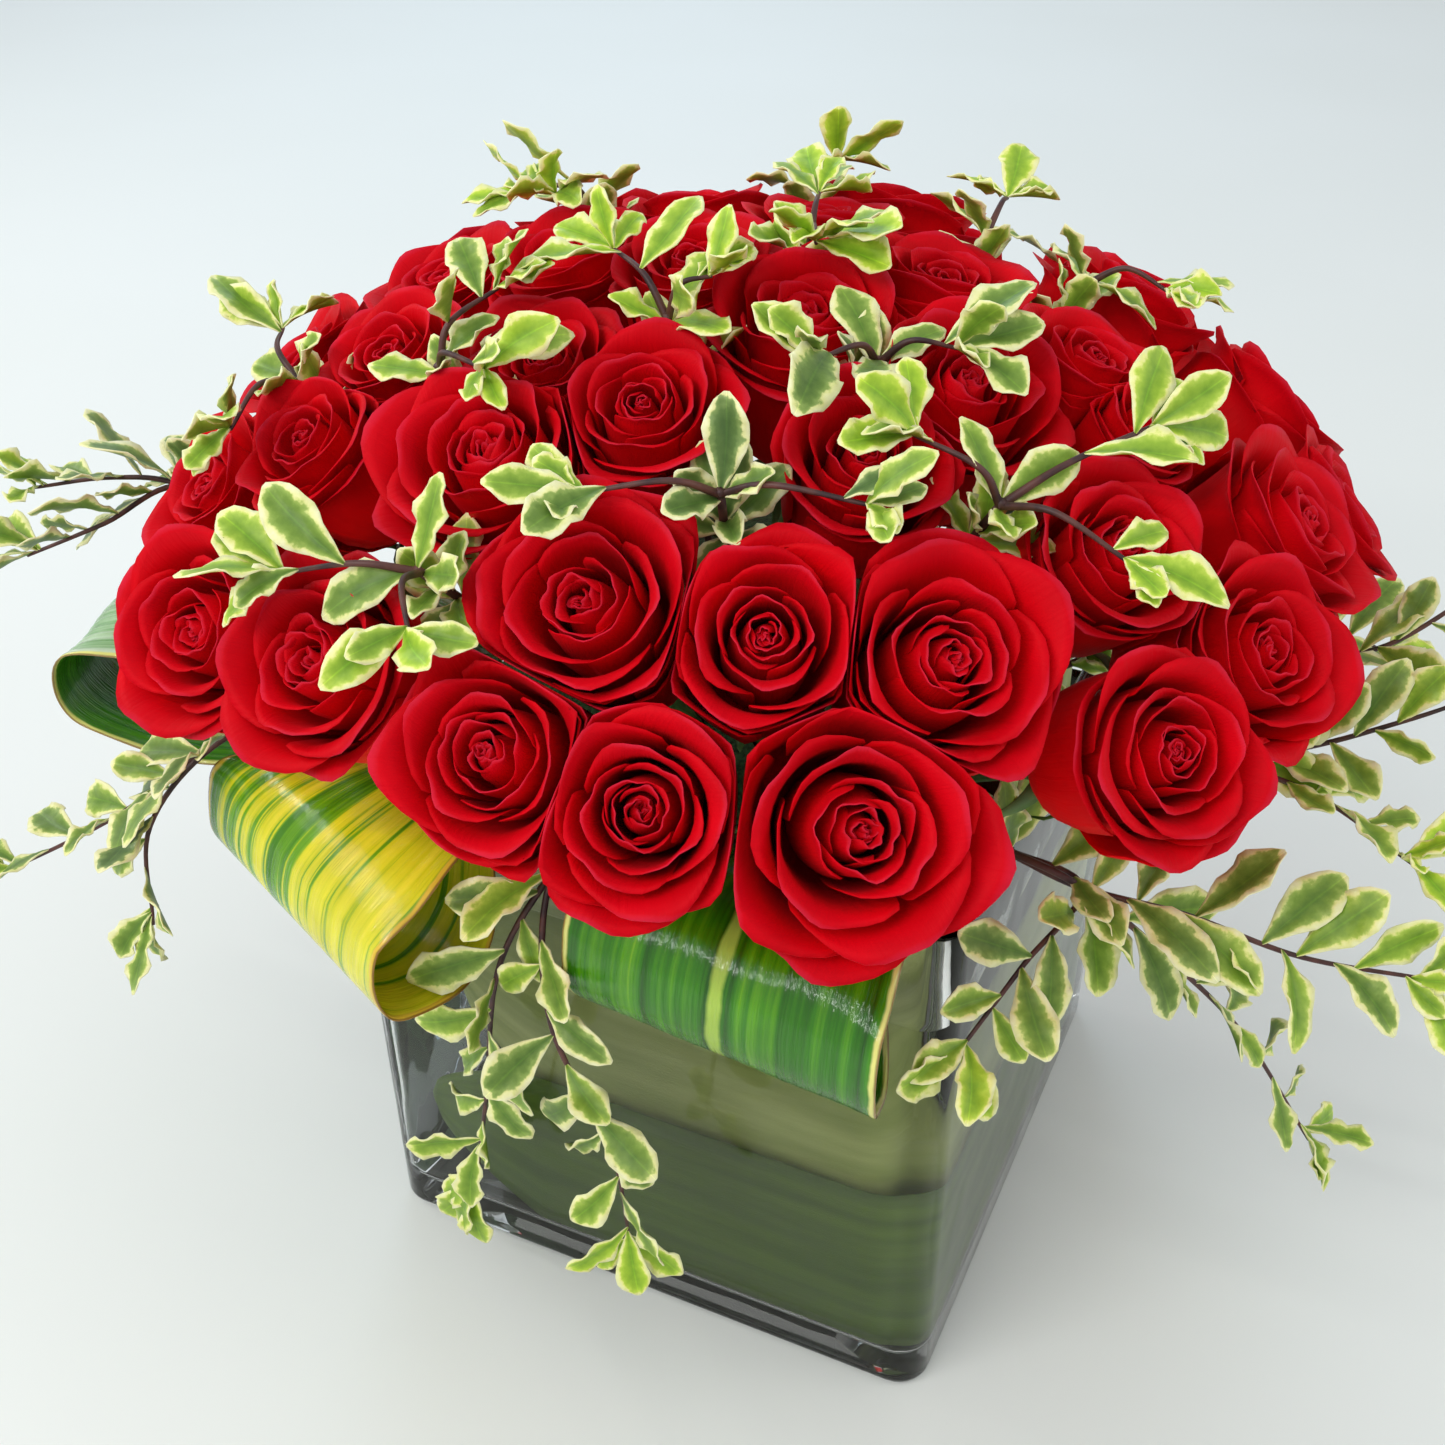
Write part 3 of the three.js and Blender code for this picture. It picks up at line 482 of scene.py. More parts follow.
def bloom_points(rose, angle, distance, height):
    """Points of a bloom, from the angle round its middle line, the distance from it and the height along
    it. The middle line is a parabola from the stem to the lip. Past the free share of the way to the
    nearest wall, the distance nears the wall as 1 - exp(-x) nears 1."""
    share = np.asarray(height / rose.height)[..., None]
    first, last = rose.bend - rose.base, rose.lip - rose.bend
    middle = rose.base + first * 2 * share * (1 - share) + (rose.lip - rose.base) * share ** 2
    ahead = unit(first * (1 - share) + last * share)
    across = unit(rose.side - ahead * (ahead @ rose.side)[..., None])
    up = np.cross(ahead, across)
    away = across * np.cos(angle)[..., None] + up * np.sin(angle)[..., None]
    slope = away @ rose.normals.T
    gap = rose.limits - middle @ rose.normals.T
    room = np.where(slope > 1e-6, gap / np.maximum(slope, 1e-6), np.inf).min(axis=-1)
    free = FREE_SHARE * room
    rest = room - free
    past = np.maximum(distance - free, 0)
    kept = np.where(past > 0, free + rest * (1 - np.exp(-past / rest)), distance)
    return middle + away * kept[..., None]


lip = bloom_points(roses[0], np.zeros(1), np.zeros(1), np.array([roses[0].height]))
print("middle of the first bloom's lip, in mm:", lip[0].round(1))

# %% [markdown]
# ## Rose petals
#
# A rose is a spiral of petals, each 137.5 degrees round from the last, which is the turn that leaves no
# two in line. A petal leaves the hip almost level, bends up into a bowl, rises as a wall, and ends in a
# lip. The heart is a tight bud: its petals lean inwards and wrap most of the way round, one end tucked
# under the next. The outer petals are few and broad. Their lips roll back, and the sides roll more than
# the middle, which is what gives a florist's rose its pointed corners.
#
# The profile is three arcs joined smoothly, so one formula covers every petal. How wide, tall, bent and
# wrapped each is comes from short tables, read off between the heart and the outermost petal.

# %% The petal formula
GOLDEN = np.radians(137.5)
FULLNESS = 1.1
PETAL_THICK = 0.45
HIP_REACH = 2.5
BREAKS = (0.32, 0.62)
FOOT_LEAN = 1.31
BOWL_LEAN = 0.1
PETAL_ORDER = (0.0, 0.30, 0.54, 0.70, 0.84, 1.0)
BELLY = (0.05, 0.20, 0.36, 0.48, 0.64, 0.90)
TOP = (-0.14, -0.07, 0.0, 0.05, 0.0, -0.36)
WALL_LEAN = (-0.34, -0.26, -0.14, 0.10, 0.30, 0.05)
LIP_LEAN = (-0.2, 0.0, 0.25, 0.75, 1.15, 1.5)
LIP_LENGTH = (0.10, 0.12, 0.17, 0.31, 0.45, 0.34)
WRAP = (2.4, 1.8, 1.4, 1.25, 1.15, 1.1)


def arc(lean_from, lean_to, length, part):
    """How far an arc has gone out and up at a part of its length, as its lean from the upright changes
    evenly: out is the integral of the lean's sine and up that of its cosine."""
    change = lean_to - lean_from
    bend = np.where(np.abs(change) < 1e-3, 1e-3, change) / length
    now = lean_from + bend * length * part
    return (np.cos(lean_from) - np.cos(now)) / bend, (np.sin(now) - np.sin(lean_from)) / bend


print("an arc of length 1 that bends a right angle goes out and up by", arc(0.0, np.pi / 2, 1.0, 1.0)[0])

# %% The petals of a bloom
def rising(value, first, last):
    """0 up to first, 1 from last on, and an even rise between them."""
    return np.clip((value - first) / (last - first), 0, 1)


def petal_grid(rose, count, rows, columns, draws):
    """The middle surfaces of a bloom's petals, count x rows x columns x 3, and each point's order, height
    along the petal and place across it. order is 0 at the heart and 1 outermost. A petal's profile is
    three arcs end to end, the bowl, the wall and the lip, and its angle is its turn in the spiral plus
    its wrap times the place across."""
    size = rose.radius * FULLNESS
    order = (np.arange(count) / (count - 1))[:, None, None]
    along = np.linspace(0, 1, rows)[None, :, None]
    across = np.linspace(-1, 1, columns)[None, None, :]
    jitter = draws.uniform(-1, 1, (9, count, 1, 1))
    tight = draws.uniform(0.85, 1.15)

    def look_up(table):
        """A table's value at each petal's place between the heart and the outermost."""
        return np.interp(order ** tight, PETAL_ORDER, table)

    belly = size * look_up(BELLY) * (1 + 0.05 * jitter[0])
    depth = draws.uniform(-0.16, 0.1) * (1 - order) ** 2
    top = rose.height + size * (look_up(TOP) + 0.03 * jitter[1] + depth)
    foot = 2 + 0.3 * rose.height * (1 - order)
    outer = rising(order, 0.45, 0.85)
    wall_lean = look_up(WALL_LEAN) + 0.06 * jitter[2]
    lip_lean = look_up(LIP_LEAN) + 0.25 * jitter[3] * order + 1.45 * outer * np.abs(across) ** 1.7
    lip = size * look_up(LIP_LENGTH) * (1 + 0.15 * jitter[4])
    bowl = np.maximum(belly - HIP_REACH, 0.4) * (FOOT_LEAN - BOWL_LEAN)
    bowl = bowl / (np.cos(BOWL_LEAN) - np.cos(FOOT_LEAN))
    least_lean = lip_lean.min(axis=2, keepdims=True)
    lift = arc(FOOT_LEAN, BOWL_LEAN, bowl, 1.0)[1] + arc(wall_lean, least_lean, lip, 1.0)[1]
    wall = np.maximum(top - foot - lift, size / 6) / np.cos((BOWL_LEAN + wall_lean) / 2)
    end = along * (1 - (0.16 + 0.16 * outer) * np.abs(across) ** (2.6 - 0.9 * outer))
    out, up = HIP_REACH, foot
    for first, last, lean_from, lean_to, length in ((0, BREAKS[0], FOOT_LEAN, BOWL_LEAN, bowl),
                                                    (*BREAKS, BOWL_LEAN, wall_lean, wall),
                                                    (BREAKS[1], 1, wall_lean, lip_lean, lip)):
        step_out, step_up = arc(lean_from, lean_to, length, rising(end, first, last))
        out, up = out + step_out, up + step_up
    edge = rising(end, 0.5, 1) ** 2
    wave = np.sin(across * 4.2 + jitter[5] * 3) + 0.5 * np.sin(across * 9.5 + jitter[6] * 3)
    out = out + size * edge * (0.035 * (0.3 + order) * wave + 0.05 * across)
    up = up + size * edge * 0.03 * jitter[7] * across
    wrap = look_up(WRAP) * (0.45 + 0.55 * rising(end, 0, 0.4)) * (1 - 0.3 * edge)
    angle = rose.index * 2.4 + np.arange(count)[:, None, None] * GOLDEN + 0.15 * jitter[8] + wrap * across
    drift = size * 0.09 * (1 - order) * edge
    x = out * np.cos(angle) + drift * np.cos(rose.index)
    y = out * np.sin(angle) + drift * np.sin(rose.index)
    return bloom_points(rose, np.arctan2(y, x), np.hypot(x, y), up), order, end, across


PETALS = 30
print("petals:", PETALS * len(roses))

# %% [markdown]
# ## The velvet of a petal
#
# Red rose petals are matt with the faintest sheen. Painted light makes the red lightest deep in the bowl,
# standing for light that has passed other petals, painted shade darkens the heart, and a painted sheen
# makes the lip a little bluer and paler. Fine veins fan from the foot. All of it follows the petal, so it
# reads the marks that the mesh carries.

# %% Petal finish
def petal_finish():
    """Crimson velvet with fan veins and soft blotches: painted light makes it lighter deep in the bowl,
    painted shade darkens the heart, and a painted sheen pales the lip.
    """
    material, tree, shader = finish_base(
        "rose_petal", (0.5, 0.006, 0.02), 0.6, Sheen_Weight=0.03, Sheen_Roughness=0.5,
        Sheen_Tint=(1.0, 0.2, 0.3, 1), Specular_IOR_Level=0.08)
    height, order, across = (mark(tree, "petal_" + name) for name in ("along", "order", "across"))
    # Painted light: the red is lightest deep in the bowl, and a painted sheen makes the lip bluer and paler.
    colour = ramp(tree, height, [(0.2, (0.80, 0.0, 0.002)), (0.6, (0.75, 0.0, 0.004)),
                                 (0.93, (0.66, 0.0, 0.008)), (1.0, (0.72, 0.016, 0.045))])
    colour = times(tree, colour, ramp(tree, noise(tree, 60, 4), [(0.3, 0.84), (0.75, 1.1)]))
    # Painted shade: the petals of the heart are darkened.
    paint(tree, shader, times(tree, colour, ramp(tree, order, [(0.0, 0.85), (0.35, 1.0)])))
    fan = add(tree, "ShaderNodeCombineXYZ",
              {"X": maths(tree, "MULTIPLY", across, 26.0), "Y": maths(tree, "MULTIPLY", height, 2.0),
               "Z": maths(tree, "MULTIPLY", order, 40.0)})
    bump(tree, shader, noise(tree, 1.0, 2, fan.outputs["Vector"]), 0.0004, 0.5)
    return material


rose_petal = petal_finish()
print("finish:", rose_petal.name)

# %% A mottled finish, first for the rose's green parts
def mottled_finish(name, colour, roughness, cloud, stops, relief=None):
    """Two colours mixed by cloudy noise, of a scale and a detail, which may dent the surface as well."""
    material, tree, shader = finish_base(name, colour, roughness)
    clouds = noise(tree, *cloud)
    paint(tree, shader, ramp(tree, clouds, stops))
    if relief:
        bump(tree, shader, clouds, *relief)
    return material


rose_green = mottled_finish("rose_green", (0.07, 0.16, 0.03), 0.55, (90,),
                            [(0.3, (0.04, 0.11, 0.02)), (0.7, (0.13, 0.24, 0.06))])
print("finish:", rose_green.name)

# %% [markdown]
# ## Growing the roses
#
# The petals of a bloom are one piece. The hip, its sepals and the stem are another, because they are
# green. Roses at the back have as many petals, on a slightly coarser grid.

# %% Stems, hips and sepals
STEM_RADIUS = 2.5
STEM_END = 48.0
STEM_RINGS = 28
STEM_SIDES = 10
HIP_RADIUS = 5.2
HIP_START = 9.0
HIP_LENGTH = 11.0
SEPAL_THICK = 0.7


def stem_and_hip(rose):
    """A tube down the stem that swells into the hip: the radius is the stem's, and near the top rises to
    the hip's as a smooth step."""
    top = np.linalg.norm(rose.base - FOCUS)
    distance = np.linspace(STEM_END, top + 3, STEM_RINGS)
    path = FOCUS + rose.ray * distance[:, None]
    rise = rising(distance, top - HIP_START, top - HIP_START + HIP_LENGTH)
    return tube(path, STEM_RADIUS + (HIP_RADIUS - STEM_RADIUS) * rise ** 2 * (3 - 2 * rise), STEM_SIDES)


def sepal_grid(rose, draws):
    """Five sepals: each leaves the hip outwards and curls down, its width falling to a point as 1 - t."""
    t = np.linspace(0, 1, 7)[None, :, None]
    s = np.linspace(-1, 1, 3)[None, None, :]
    turn = (np.arange(5) * 2 * np.pi / 5 + rose.index)[:, None, None] + draws.uniform(-0.2, 0.2, (5, 1, 1))
    out = 4.5 + 12 * np.sin(t * 1.7)
    up = 3 - 20 * t ** 2 + draws.uniform(-4, 4, (5, 1, 1)) * t
    angle = turn + s * (1.03 - t) * 3.4 / out
    return bloom_points(rose, *np.broadcast_arrays(angle, out, up))


def join_parts(parts):
    """Several (points, four-cornered faces, three-cornered faces) as one."""
    starts = np.cumsum([0] + [len(points) for points, _, _ in parts])
    points = np.concatenate([points for points, _, _ in parts])
    walls = np.concatenate([walls + start for (_, walls, _), start in zip(parts, starts)])
    caps = np.concatenate([caps + start for (_, _, caps), start in zip(parts, starts)])
    return points, walls, caps


print("points of a stem:", len(stem_and_hip(roses[0])[0]))

# %% Make the roses
NEAR_GRID = (11, 15)
FAR_GRID = (9, 9)
NEAR_LINE = 20.0
petal_total = 0
for rose in roses:
    draws = np.random.default_rng(100 + rose.index)
    grid_size = NEAR_GRID if rose.lip[1] < NEAR_LINE else FAR_GRID
    grid, order, along, across = petal_grid(rose, PETALS, *grid_size, draws)
    petals = make_sheets(f"{rose.name}_petals", grid, PETAL_THICK, rose_petal, "rose_petal", [rose.name],
                         petal_order=order, petal_along=along, petal_across=across)
    sepals = sepal_grid(rose, draws)
    points, walls, caps = join_parts([
        stem_and_hip(rose),
        (sheet_points(sepals, SEPAL_THICK), sheet_faces(*sepals.shape[:3]), np.zeros((0, 3), int))])
    make_piece(f"{rose.name}_stem", points, [walls, caps], rose_green, [rose.name])
    petal_total += 2 * len(petals.data.polygons)
print("petal triangles:", petal_total)

# %% [markdown]
# ## Pittosporum leaves
#
# Each leaf is narrow at its foot, widest past the middle and blunt at the tip, and its margin ripples.
# The ripple is a wave that grows with the square of the distance from the midrib. The colour is what
# the eye knows the plant by: green middles, clouded with grey green, and a cream margin whose
# inner edge wanders, so the border is a noise added to the distance from the margin.

# %% Pittosporum finish
def centred(tree, value, size):
    """A noise between 0 and 1, moved to lie round 0 and scaled to a size."""
    return maths(tree, "MULTIPLY", maths(tree, "SUBTRACT", value, 0.5), size)


def sprig_finish():
    """Variegated leaf: margin distance plus noise picks cream, pale or green, and the leaf's own tint
    moves the whole leaf between grey green and lime."""
    material, tree, shader = finish_base("sprig_leaf", (0.42, 0.52, 0.2), 0.42, Specular_IOR_Level=0.3)
    across = maths(tree, "ABSOLUTE", mark(tree, "leaf_across"))
    tip = maths(tree, "POWER", mark(tree, "leaf_along"), 6.0)
    margin = maths(tree, "MAXIMUM", across, tip)
    edge = maths(tree, "ADD", margin, centred(tree, noise(tree, 330, 4), 0.8))
    grey = ramp(tree, edge, [(0.0, (0.06, 0.12, 0.025)), (0.40, (0.11, 0.19, 0.045)),
                             (0.64, (0.24, 0.34, 0.10)), (0.72, (0.76, 0.75, 0.32)),
                             (1.0, (0.93, 0.90, 0.56))])
    lime = ramp(tree, edge, [(0.0, (0.20, 0.38, 0.02)), (0.46, (0.38, 0.58, 0.035)),
                             (0.70, (0.58, 0.74, 0.07)), (0.78, (0.90, 0.89, 0.28)),
                             (1.0, (0.95, 0.94, 0.50))])
    rib = ramp(tree, across, [(0.0, (1.25, 1.3, 1.1)), (0.07, 1.0)])
    paint(tree, shader, times(tree, blend(tree, mark(tree, "leaf_tint"), grey, lime), rib))
    bump(tree, shader, noise(tree, 500, 2), 0.0003, 0.4)
    return material


sprig_leaf = sprig_finish()
sprig_bark = mottled_finish("sprig_bark", (0.05, 0.02, 0.02), 0.5, (160,),
                            [(0.35, (0.03, 0.008, 0.010)), (0.7, (0.13, 0.04, 0.03))])
print("finishes:", sprig_leaf.name, sprig_bark.name)

# %% The shape of a leaf
def leaf_grid(feet, headings, faces, lengths, widths, draws, rows=12, columns=7):
    """Leaves as sheets. The half width along the leaf is a power of sin(pi t^1.5), so the foot is a narrow
    stalk and the blade is widest past the middle. The blade arches as t squared, folds up from the
    midrib, twists a little, and ripples as s squared times a sine along it."""
    count = len(feet)
    t = np.linspace(0, 1, rows)[None, :, None]
    s = np.linspace(-1, 1, columns)[None, None, :]
    side = unit(np.cross(headings, faces))
    over = unit(np.cross(side, headings))
    random = draws.uniform(0, 1, (4, count, 1, 1))
    outline = np.maximum(np.sin(np.pi * np.clip(t, 0, 0.995) ** 1.5), 0) ** 0.75
    notch = 1 + 0.035 * np.sin(2 * np.pi * (2.8 + random[0]) * t + 9 * random[2] + 2 * s)
    lengths, widths = lengths[:, None, None], widths[:, None, None]
    half = widths / 2 * (0.06 + 0.94 * outline * notch)
    ripple = 1.5 * s ** 2 * outline * np.sin(2 * np.pi * (1.8 + random[0]) * t + 6 * random[1] + 1.5 * s)
    bend = lengths * (0.02 + (0.12 - 0.5 * random[2]) * t ** 2)
    fold = (0.3 + 2.4 * random[3]) * np.abs(s) * outline
    twist = (random[1] - 0.5) * 6 * s * t * outline
    lift = ripple + bend + fold + twist
    sway = lengths * 0.06 * (random[1] - 0.5) * np.sin(np.pi * t)
    grid = (feet[:, None, None] + headings[:, None, None] * (lengths * t)[..., None]
            + side[:, None, None] * (half * s + sway)[..., None] + over[:, None, None] * lift[..., None])
    return grid, t, s


LEAF_LENGTH = 26.0
LEAF_WIDTH = 12.5
LEAF_THICK = 0.6
print("a leaf is", LEAF_LENGTH, "by", LEAF_WIDTH, "mm")

# %% Leaves along a twig
LEAF_SIZES = (0.62, 1.18)
YOUNG_SIZE = 0.82
TIP_WHORL = 4
WHORL_STEP = 0.014
LEAF_LEAN = (34, 74)
YOUNG_LEAN = (24, 72)


def leaves_along(path, count, away, draws):
    """Feet, headings, upper faces, sizes and youth of the leaves on a twig: a whorl of small young ones
    at its tip, and older ones by turns to either side below it."""
    lengths = np.linalg.norm(np.diff(path, axis=0), axis=1)
    run = np.concatenate([[0], np.cumsum(lengths)]) / lengths.sum()
    order = np.arange(count)
    young = order < TIP_WHORL
    below = (order - TIP_WHORL) / max(count - TIP_WHORL, 1)
    part = np.where(young, 0.99 - WHORL_STEP * order, 0.86 - 0.74 * below - draws.uniform(0, 0.05, count))

    def at_leaves(rows):
        """Rows that belong to the path's points, read off where the leaves stand."""
        return np.stack([np.interp(part, run, column) for column in rows.T], axis=-1)

    feet = at_leaves(path)
    ahead = unit(at_leaves(np.gradient(path, axis=0)))
    up = np.array([away(foot) for foot in feet])
    side = unit(np.cross(ahead, up))
    top = unit(np.cross(side, ahead))
    rise = np.radians(draws.uniform(0, 55, count))
    in_whorl = np.radians((order * 137.5 + draws.uniform(0, 60)) % 200 - 10)
    around = np.where(young, in_whorl, np.where(order % 2, rise, np.pi - rise))
    lean = np.radians(np.where(young, draws.uniform(*YOUNG_LEAN, count), draws.uniform(*LEAF_LEAN, count)))
    heading = unit(ahead * np.cos(lean)[:, None]
                   + side * (np.sin(lean) * np.cos(around))[:, None]
                   + top * (np.sin(lean) * np.sin(around))[:, None])
    size = draws.uniform(*LEAF_SIZES, count) * np.where(young, YOUNG_SIZE, 1.0)
    face = top + side * draws.uniform(-0.6, 0.6, (count, 1)) + ahead * draws.uniform(-0.4, 0.4, (count, 1))
    return feet, heading, face, LEAF_LENGTH * size, LEAF_WIDTH * size, young


print("young leaves at the tip of a twig:", TIP_WHORL)

# %% Leaves round an exit
COLLAR_SIZES = (0.65, 1.0)
COLLAR_TURNS = np.arange(3) * GOLDEN
FAN_TURNS = np.radians([-52, -15, 18, 58])
THROAT_TURNS = np.radians([0, 72, 144, 216, 288]) + 0.4
HIGH_COLLAR = (1, (14, 40))
LOW_COLLAR = (13, (48, 66))
THROAT_COLLAR = (19, (18, 38))


def collar(mouth, ray, turn, depth, rises, draws):
    """Leaves round the place where a twig comes out between blooms: they leave it a depth below, at the
    given turns from straight up, each tipped outwards by an angle in the range rises, in degrees."""
    count = len(turn)
    side = unit(np.cross(ray, [0.03, 0.02, 1.0]))
    other = np.cross(side, ray)
    rise = np.radians(draws.uniform(*rises, count))
    level = other * np.cos(turn)[:, None] + side * np.sin(turn)[:, None]
    heading = unit(level * np.cos(rise)[:, None] + ray * np.sin(rise)[:, None])
    size = draws.uniform(*COLLAR_SIZES, count)
    feet = mouth - ray * (depth + draws.uniform(0, 4, count))[:, None]
    return feet, heading, ray + 0 * heading, LEAF_LENGTH * size, LEAF_WIDTH * size, np.zeros(count, bool)


print("leaves round an exit in the dome:", 2 * len(COLLAR_TURNS) + len(THROAT_TURNS))

# %% [markdown]
# ## Making the sprigs
#
# A branch in the dome comes straight out of the foam, and forks just over it where it feeds a second
# exit. Collars of leaves stand round each exit, and deeper ones close the view down between blooms. The
# leaves of a sprig are one piece and its wood another. The young ones high on the dome are lime green.

# %% A smooth path
def smooth_path(stops, steps):
    """A smooth curve through stops: from each to the next, a cubic that leaves a stop along the line from
    the stop before it to the one after. Works on rows of any length, so widths are smoothed with places."""
    stops = np.asarray(stops, float)
    padded = np.concatenate([2 * stops[:1] - stops[1:2], stops, 2 * stops[-1:] - stops[-2:-1]])
    t = np.linspace(0, 1, steps, endpoint=False)[None, :, None]
    a, b, c, d = (padded[k:len(padded) - 3 + k][:, None] for k in range(4))
    curve = 0.5 * (2 * b + (c - a) * t + (2 * a - 5 * b + 4 * c - d) * t ** 2
                   + (3 * b - a - 3 * c + d) * t ** 3)
    return np.concatenate([curve.reshape(-1, stops.shape[1]), stops[-1:]])


print("points of a path of 3 stops:", len(smooth_path([(0, 0), (1, 0), (1, 1)], 10)))

# %% From plans to branches
FOAM_WIDTH = 130.0
FOAM_TOP = 222.0
FOAM_CLEAR = 10.0
TWIG_END = 54.0
LEAVES_PER_STOP = 3


def clear_of_foam(ray):
    """How far along a ray from the focus a branch is clear of the foam."""
    half = FOAM_WIDTH / 2
    sides = min(half / abs(ray[0]), (half + FOCUS[1]) / abs(ray[1]))
    return min(sides, (FOAM_TOP - FOCUS[2]) / ray[2]) + FOAM_CLEAR


def outwards_and_up(foot):
    """The way that the leaves of a trailing sprig face."""
    return unit(unit(np.array([foot[0], foot[1], 0.0])) + np.array([0, 0, 0.7]))


def dome_sprig(exits):
    """The wood of a branch in the dome, its leafy twigs, and where each of its exits is and points."""
    mouths = [dome_point(*at, 1.0) for at, _ in exits]
    rays = [unit(mouth - FOCUS) for mouth in mouths]
    trunk = rays[0]
    wood = [np.linspace(FOCUS + trunk * TWIG_END, mouths[0], 6)]
    for ray, mouth in zip(rays[1:], mouths[1:]):
        between = unit(trunk + ray)
        reach = max(clear_of_foam(trunk), clear_of_foam(between), clear_of_foam(ray))
        wood.append(smooth_path([FOCUS + trunk * (reach - 2), FOCUS + between * reach,
                                 FOCUS + ray * (reach + 8), mouth], 6))
    leafy = []
    for (_, twigs), mouth, ray in zip(exits, mouths, rays):
        for azimuth, reach, lift, leaves in twigs:
            tip = dome_point(azimuth, reach, lift)
            start = mouth - ray * 2
            turn = start + (tip - start) * 0.35 + ray * 6
            leafy.append((smooth_path([start, turn, tip], 10), leaves, dome_normal))
    return wood, leafy, list(zip(mouths, rays))


def rim_sprig(crossing, branches):
    """The wood, the leafy twigs and the exit of a sprig that passes over the rim."""
    crossing = np.array(crossing, float)
    ray = unit(crossing - FOCUS)
    wood = [np.linspace(FOCUS + ray * TWIG_END, crossing, 6)]
    leafy = []
    for order, stops in enumerate(branches):
        start = crossing - ray * (3 + 0.9 * order)
        path = smooth_path([start] + list(stops), 10)
        leafy.append((path, LEAVES_PER_STOP * len(stops) + TIP_WHORL, outwards_and_up))
    return wood, leafy, [(crossing, ray)]


plans = {name: dome_sprig(exits) for name, exits in DOME_SPRIGS.items()}
plans.update({name: rim_sprig(*plan) for name, plan in RIM_SPRIGS.items()})
print("sprigs:", len(plans))

# %% Make the sprigs
TWIG_RADIUS = 1.15
TWIG_TIP = 0.55
TWIG_SIDES = 8
YOUNG_TINT = 0.35
LIME = {"sprig_crown_front": 0.85, "sprig_crown_left": 0.6, "sprig_skirt_left": 0.45,
        "sprig_shoulder_right": 0.65, "sprig_shoulder_left": 0.5, "sprig_front": 0.45,
        "sprig_crown_back": 0.6, "sprig_middle_front": 0.12, "sprig_right_middle": 0.55,
        "sprig_right_back": 0.5, "sprig_right_front": 0.45}
LIME_ELSEWHERE = 0.2

leaf_total = 0
for number, (name, (wood, leafy, exits)) in enumerate(plans.items()):
    draws = np.random.default_rng(500 + number)
    tubes = [tube(path, TWIG_RADIUS, TWIG_SIDES) for path in wood]
    tubes += [tube(path, np.linspace(TWIG_RADIUS, TWIG_TIP, len(path)), TWIG_SIDES) for path, _, _ in leafy]
    points, walls, caps = join_parts(tubes)
    make_piece(f"{name}_wood", points, [walls, caps], sprig_bark, [name])
    gathered = [leaves_along(path, count, away, draws) for path, count, away in leafy]
    turns = FAN_TURNS if name in RIM_SPRIGS else COLLAR_TURNS
    for mouth, ray in exits:
        collars = [(turns + draws.uniform(-0.2, 0.2), *HIGH_COLLAR), (turns + 1.2, *LOW_COLLAR)]
        if name in DOME_SPRIGS:
            collars.append((THROAT_TURNS, *THROAT_COLLAR))
        gathered += [collar(mouth, ray, *shape, draws) for shape in collars]
    *columns, young = [np.concatenate(values) for values in zip(*gathered)]
    grid, along, across = leaf_grid(*columns, draws)
    lime = LIME.get(name, LIME_ELSEWHERE)
    tint = np.clip(lime + YOUNG_TINT * young + draws.uniform(-0.3, 0.2, len(grid)), 0, 1)
    make_sheets(f"{name}_leaves", grid, LEAF_THICK, sprig_leaf, "sprig_leaf", [name],
                leaf_along=along, leaf_across=across, leaf_tint=tint[:, None, None])
    leaf_total += len(grid)
print("pittosporum leaves:", leaf_total)

# %% [markdown]
# ## Leaves rolled over the rim
#
# Three broad aspidistra leaves are folded over the rim and tucked back inside, and their glossy noses
# are the brightest thing in the arrangement. Each is one strip: its route is a row of stops of how far
# out, how high and how wide, smoothed, and the fine ribs of the leaf run the same way.

# %% Routes of the rolled leaves
ROLLED = {
    "rolled_leaf_front": SimpleNamespace(middle=(48, -100), rim=0, nose=0, flare=0.06, route=[
        (-24, 166, 16), (-21, 184, 24), (-14, 199, 32), (-2, 207.4, 39), (12, 211, 43), (27, 209, 45),
        (38, 199, 46), (41, 184, 46), (36, 172, 45), (24, 166, 43), (11, 172, 38), (5, 184, 33),
        (3, 197, 28), (-1, 203.3, 25), (-7, 201, 21), (-9.6, 192, 15), (-9.8, 180, 7)]),
    "rolled_leaf_corner": SimpleNamespace(middle=(-65, -100), rim=0, nose=-23, flare=0.04, route=[
        (-26, 166, 10), (-22, 186, 17), (-13, 201, 24), (0, 208.4, 31), (18, 211.4, 39), (33, 208, 45),
        (44, 198, 48), (48, 183, 48), (42, 170, 46), (29, 166, 42), (15, 173, 36), (7, 186, 29),
        (4, 197, 26), (-1, 203.3, 22), (-6.5, 201.1, 17), (-8.8, 193, 12), (-9.2, 182, 6)]),
    "rolled_leaf_left": SimpleNamespace(middle=(-100, -48), rim=-90, nose=-83, flare=-0.05, route=[
        (-24, 166, 14), (-21, 184, 20), (-14, 200, 25), (-2, 207.6, 29), (20, 211, 34), (48, 214, 38),
        (80, 217, 41), (104, 211, 42), (113, 197, 42), (107, 184, 41), (88, 177, 40), (60, 176, 37),
        (34, 180, 33), (14, 190, 28), (5, 199.6, 25), (-1, 203.4, 23), (-7, 201, 19), (-10, 192, 13),
        (-10.4, 180, 6)]),
}
ROUTE_STEPS = 7

for name, leaf in ROLLED.items():
    steps = np.diff(smooth_path(leaf.route, ROUTE_STEPS)[:, :2], axis=0)
    print(name, "is", round(np.linalg.norm(steps, axis=1).sum()), "mm long")

# %% The sheet of a rolled leaf
SWING_REACH = 45.0
FLARE_REACH = (8.0, 33.0)
RIB_REACH = (12.0, 32.0)
RIM_REST = 203.5
ROLLED_COLUMNS = 69
RIBS = 17


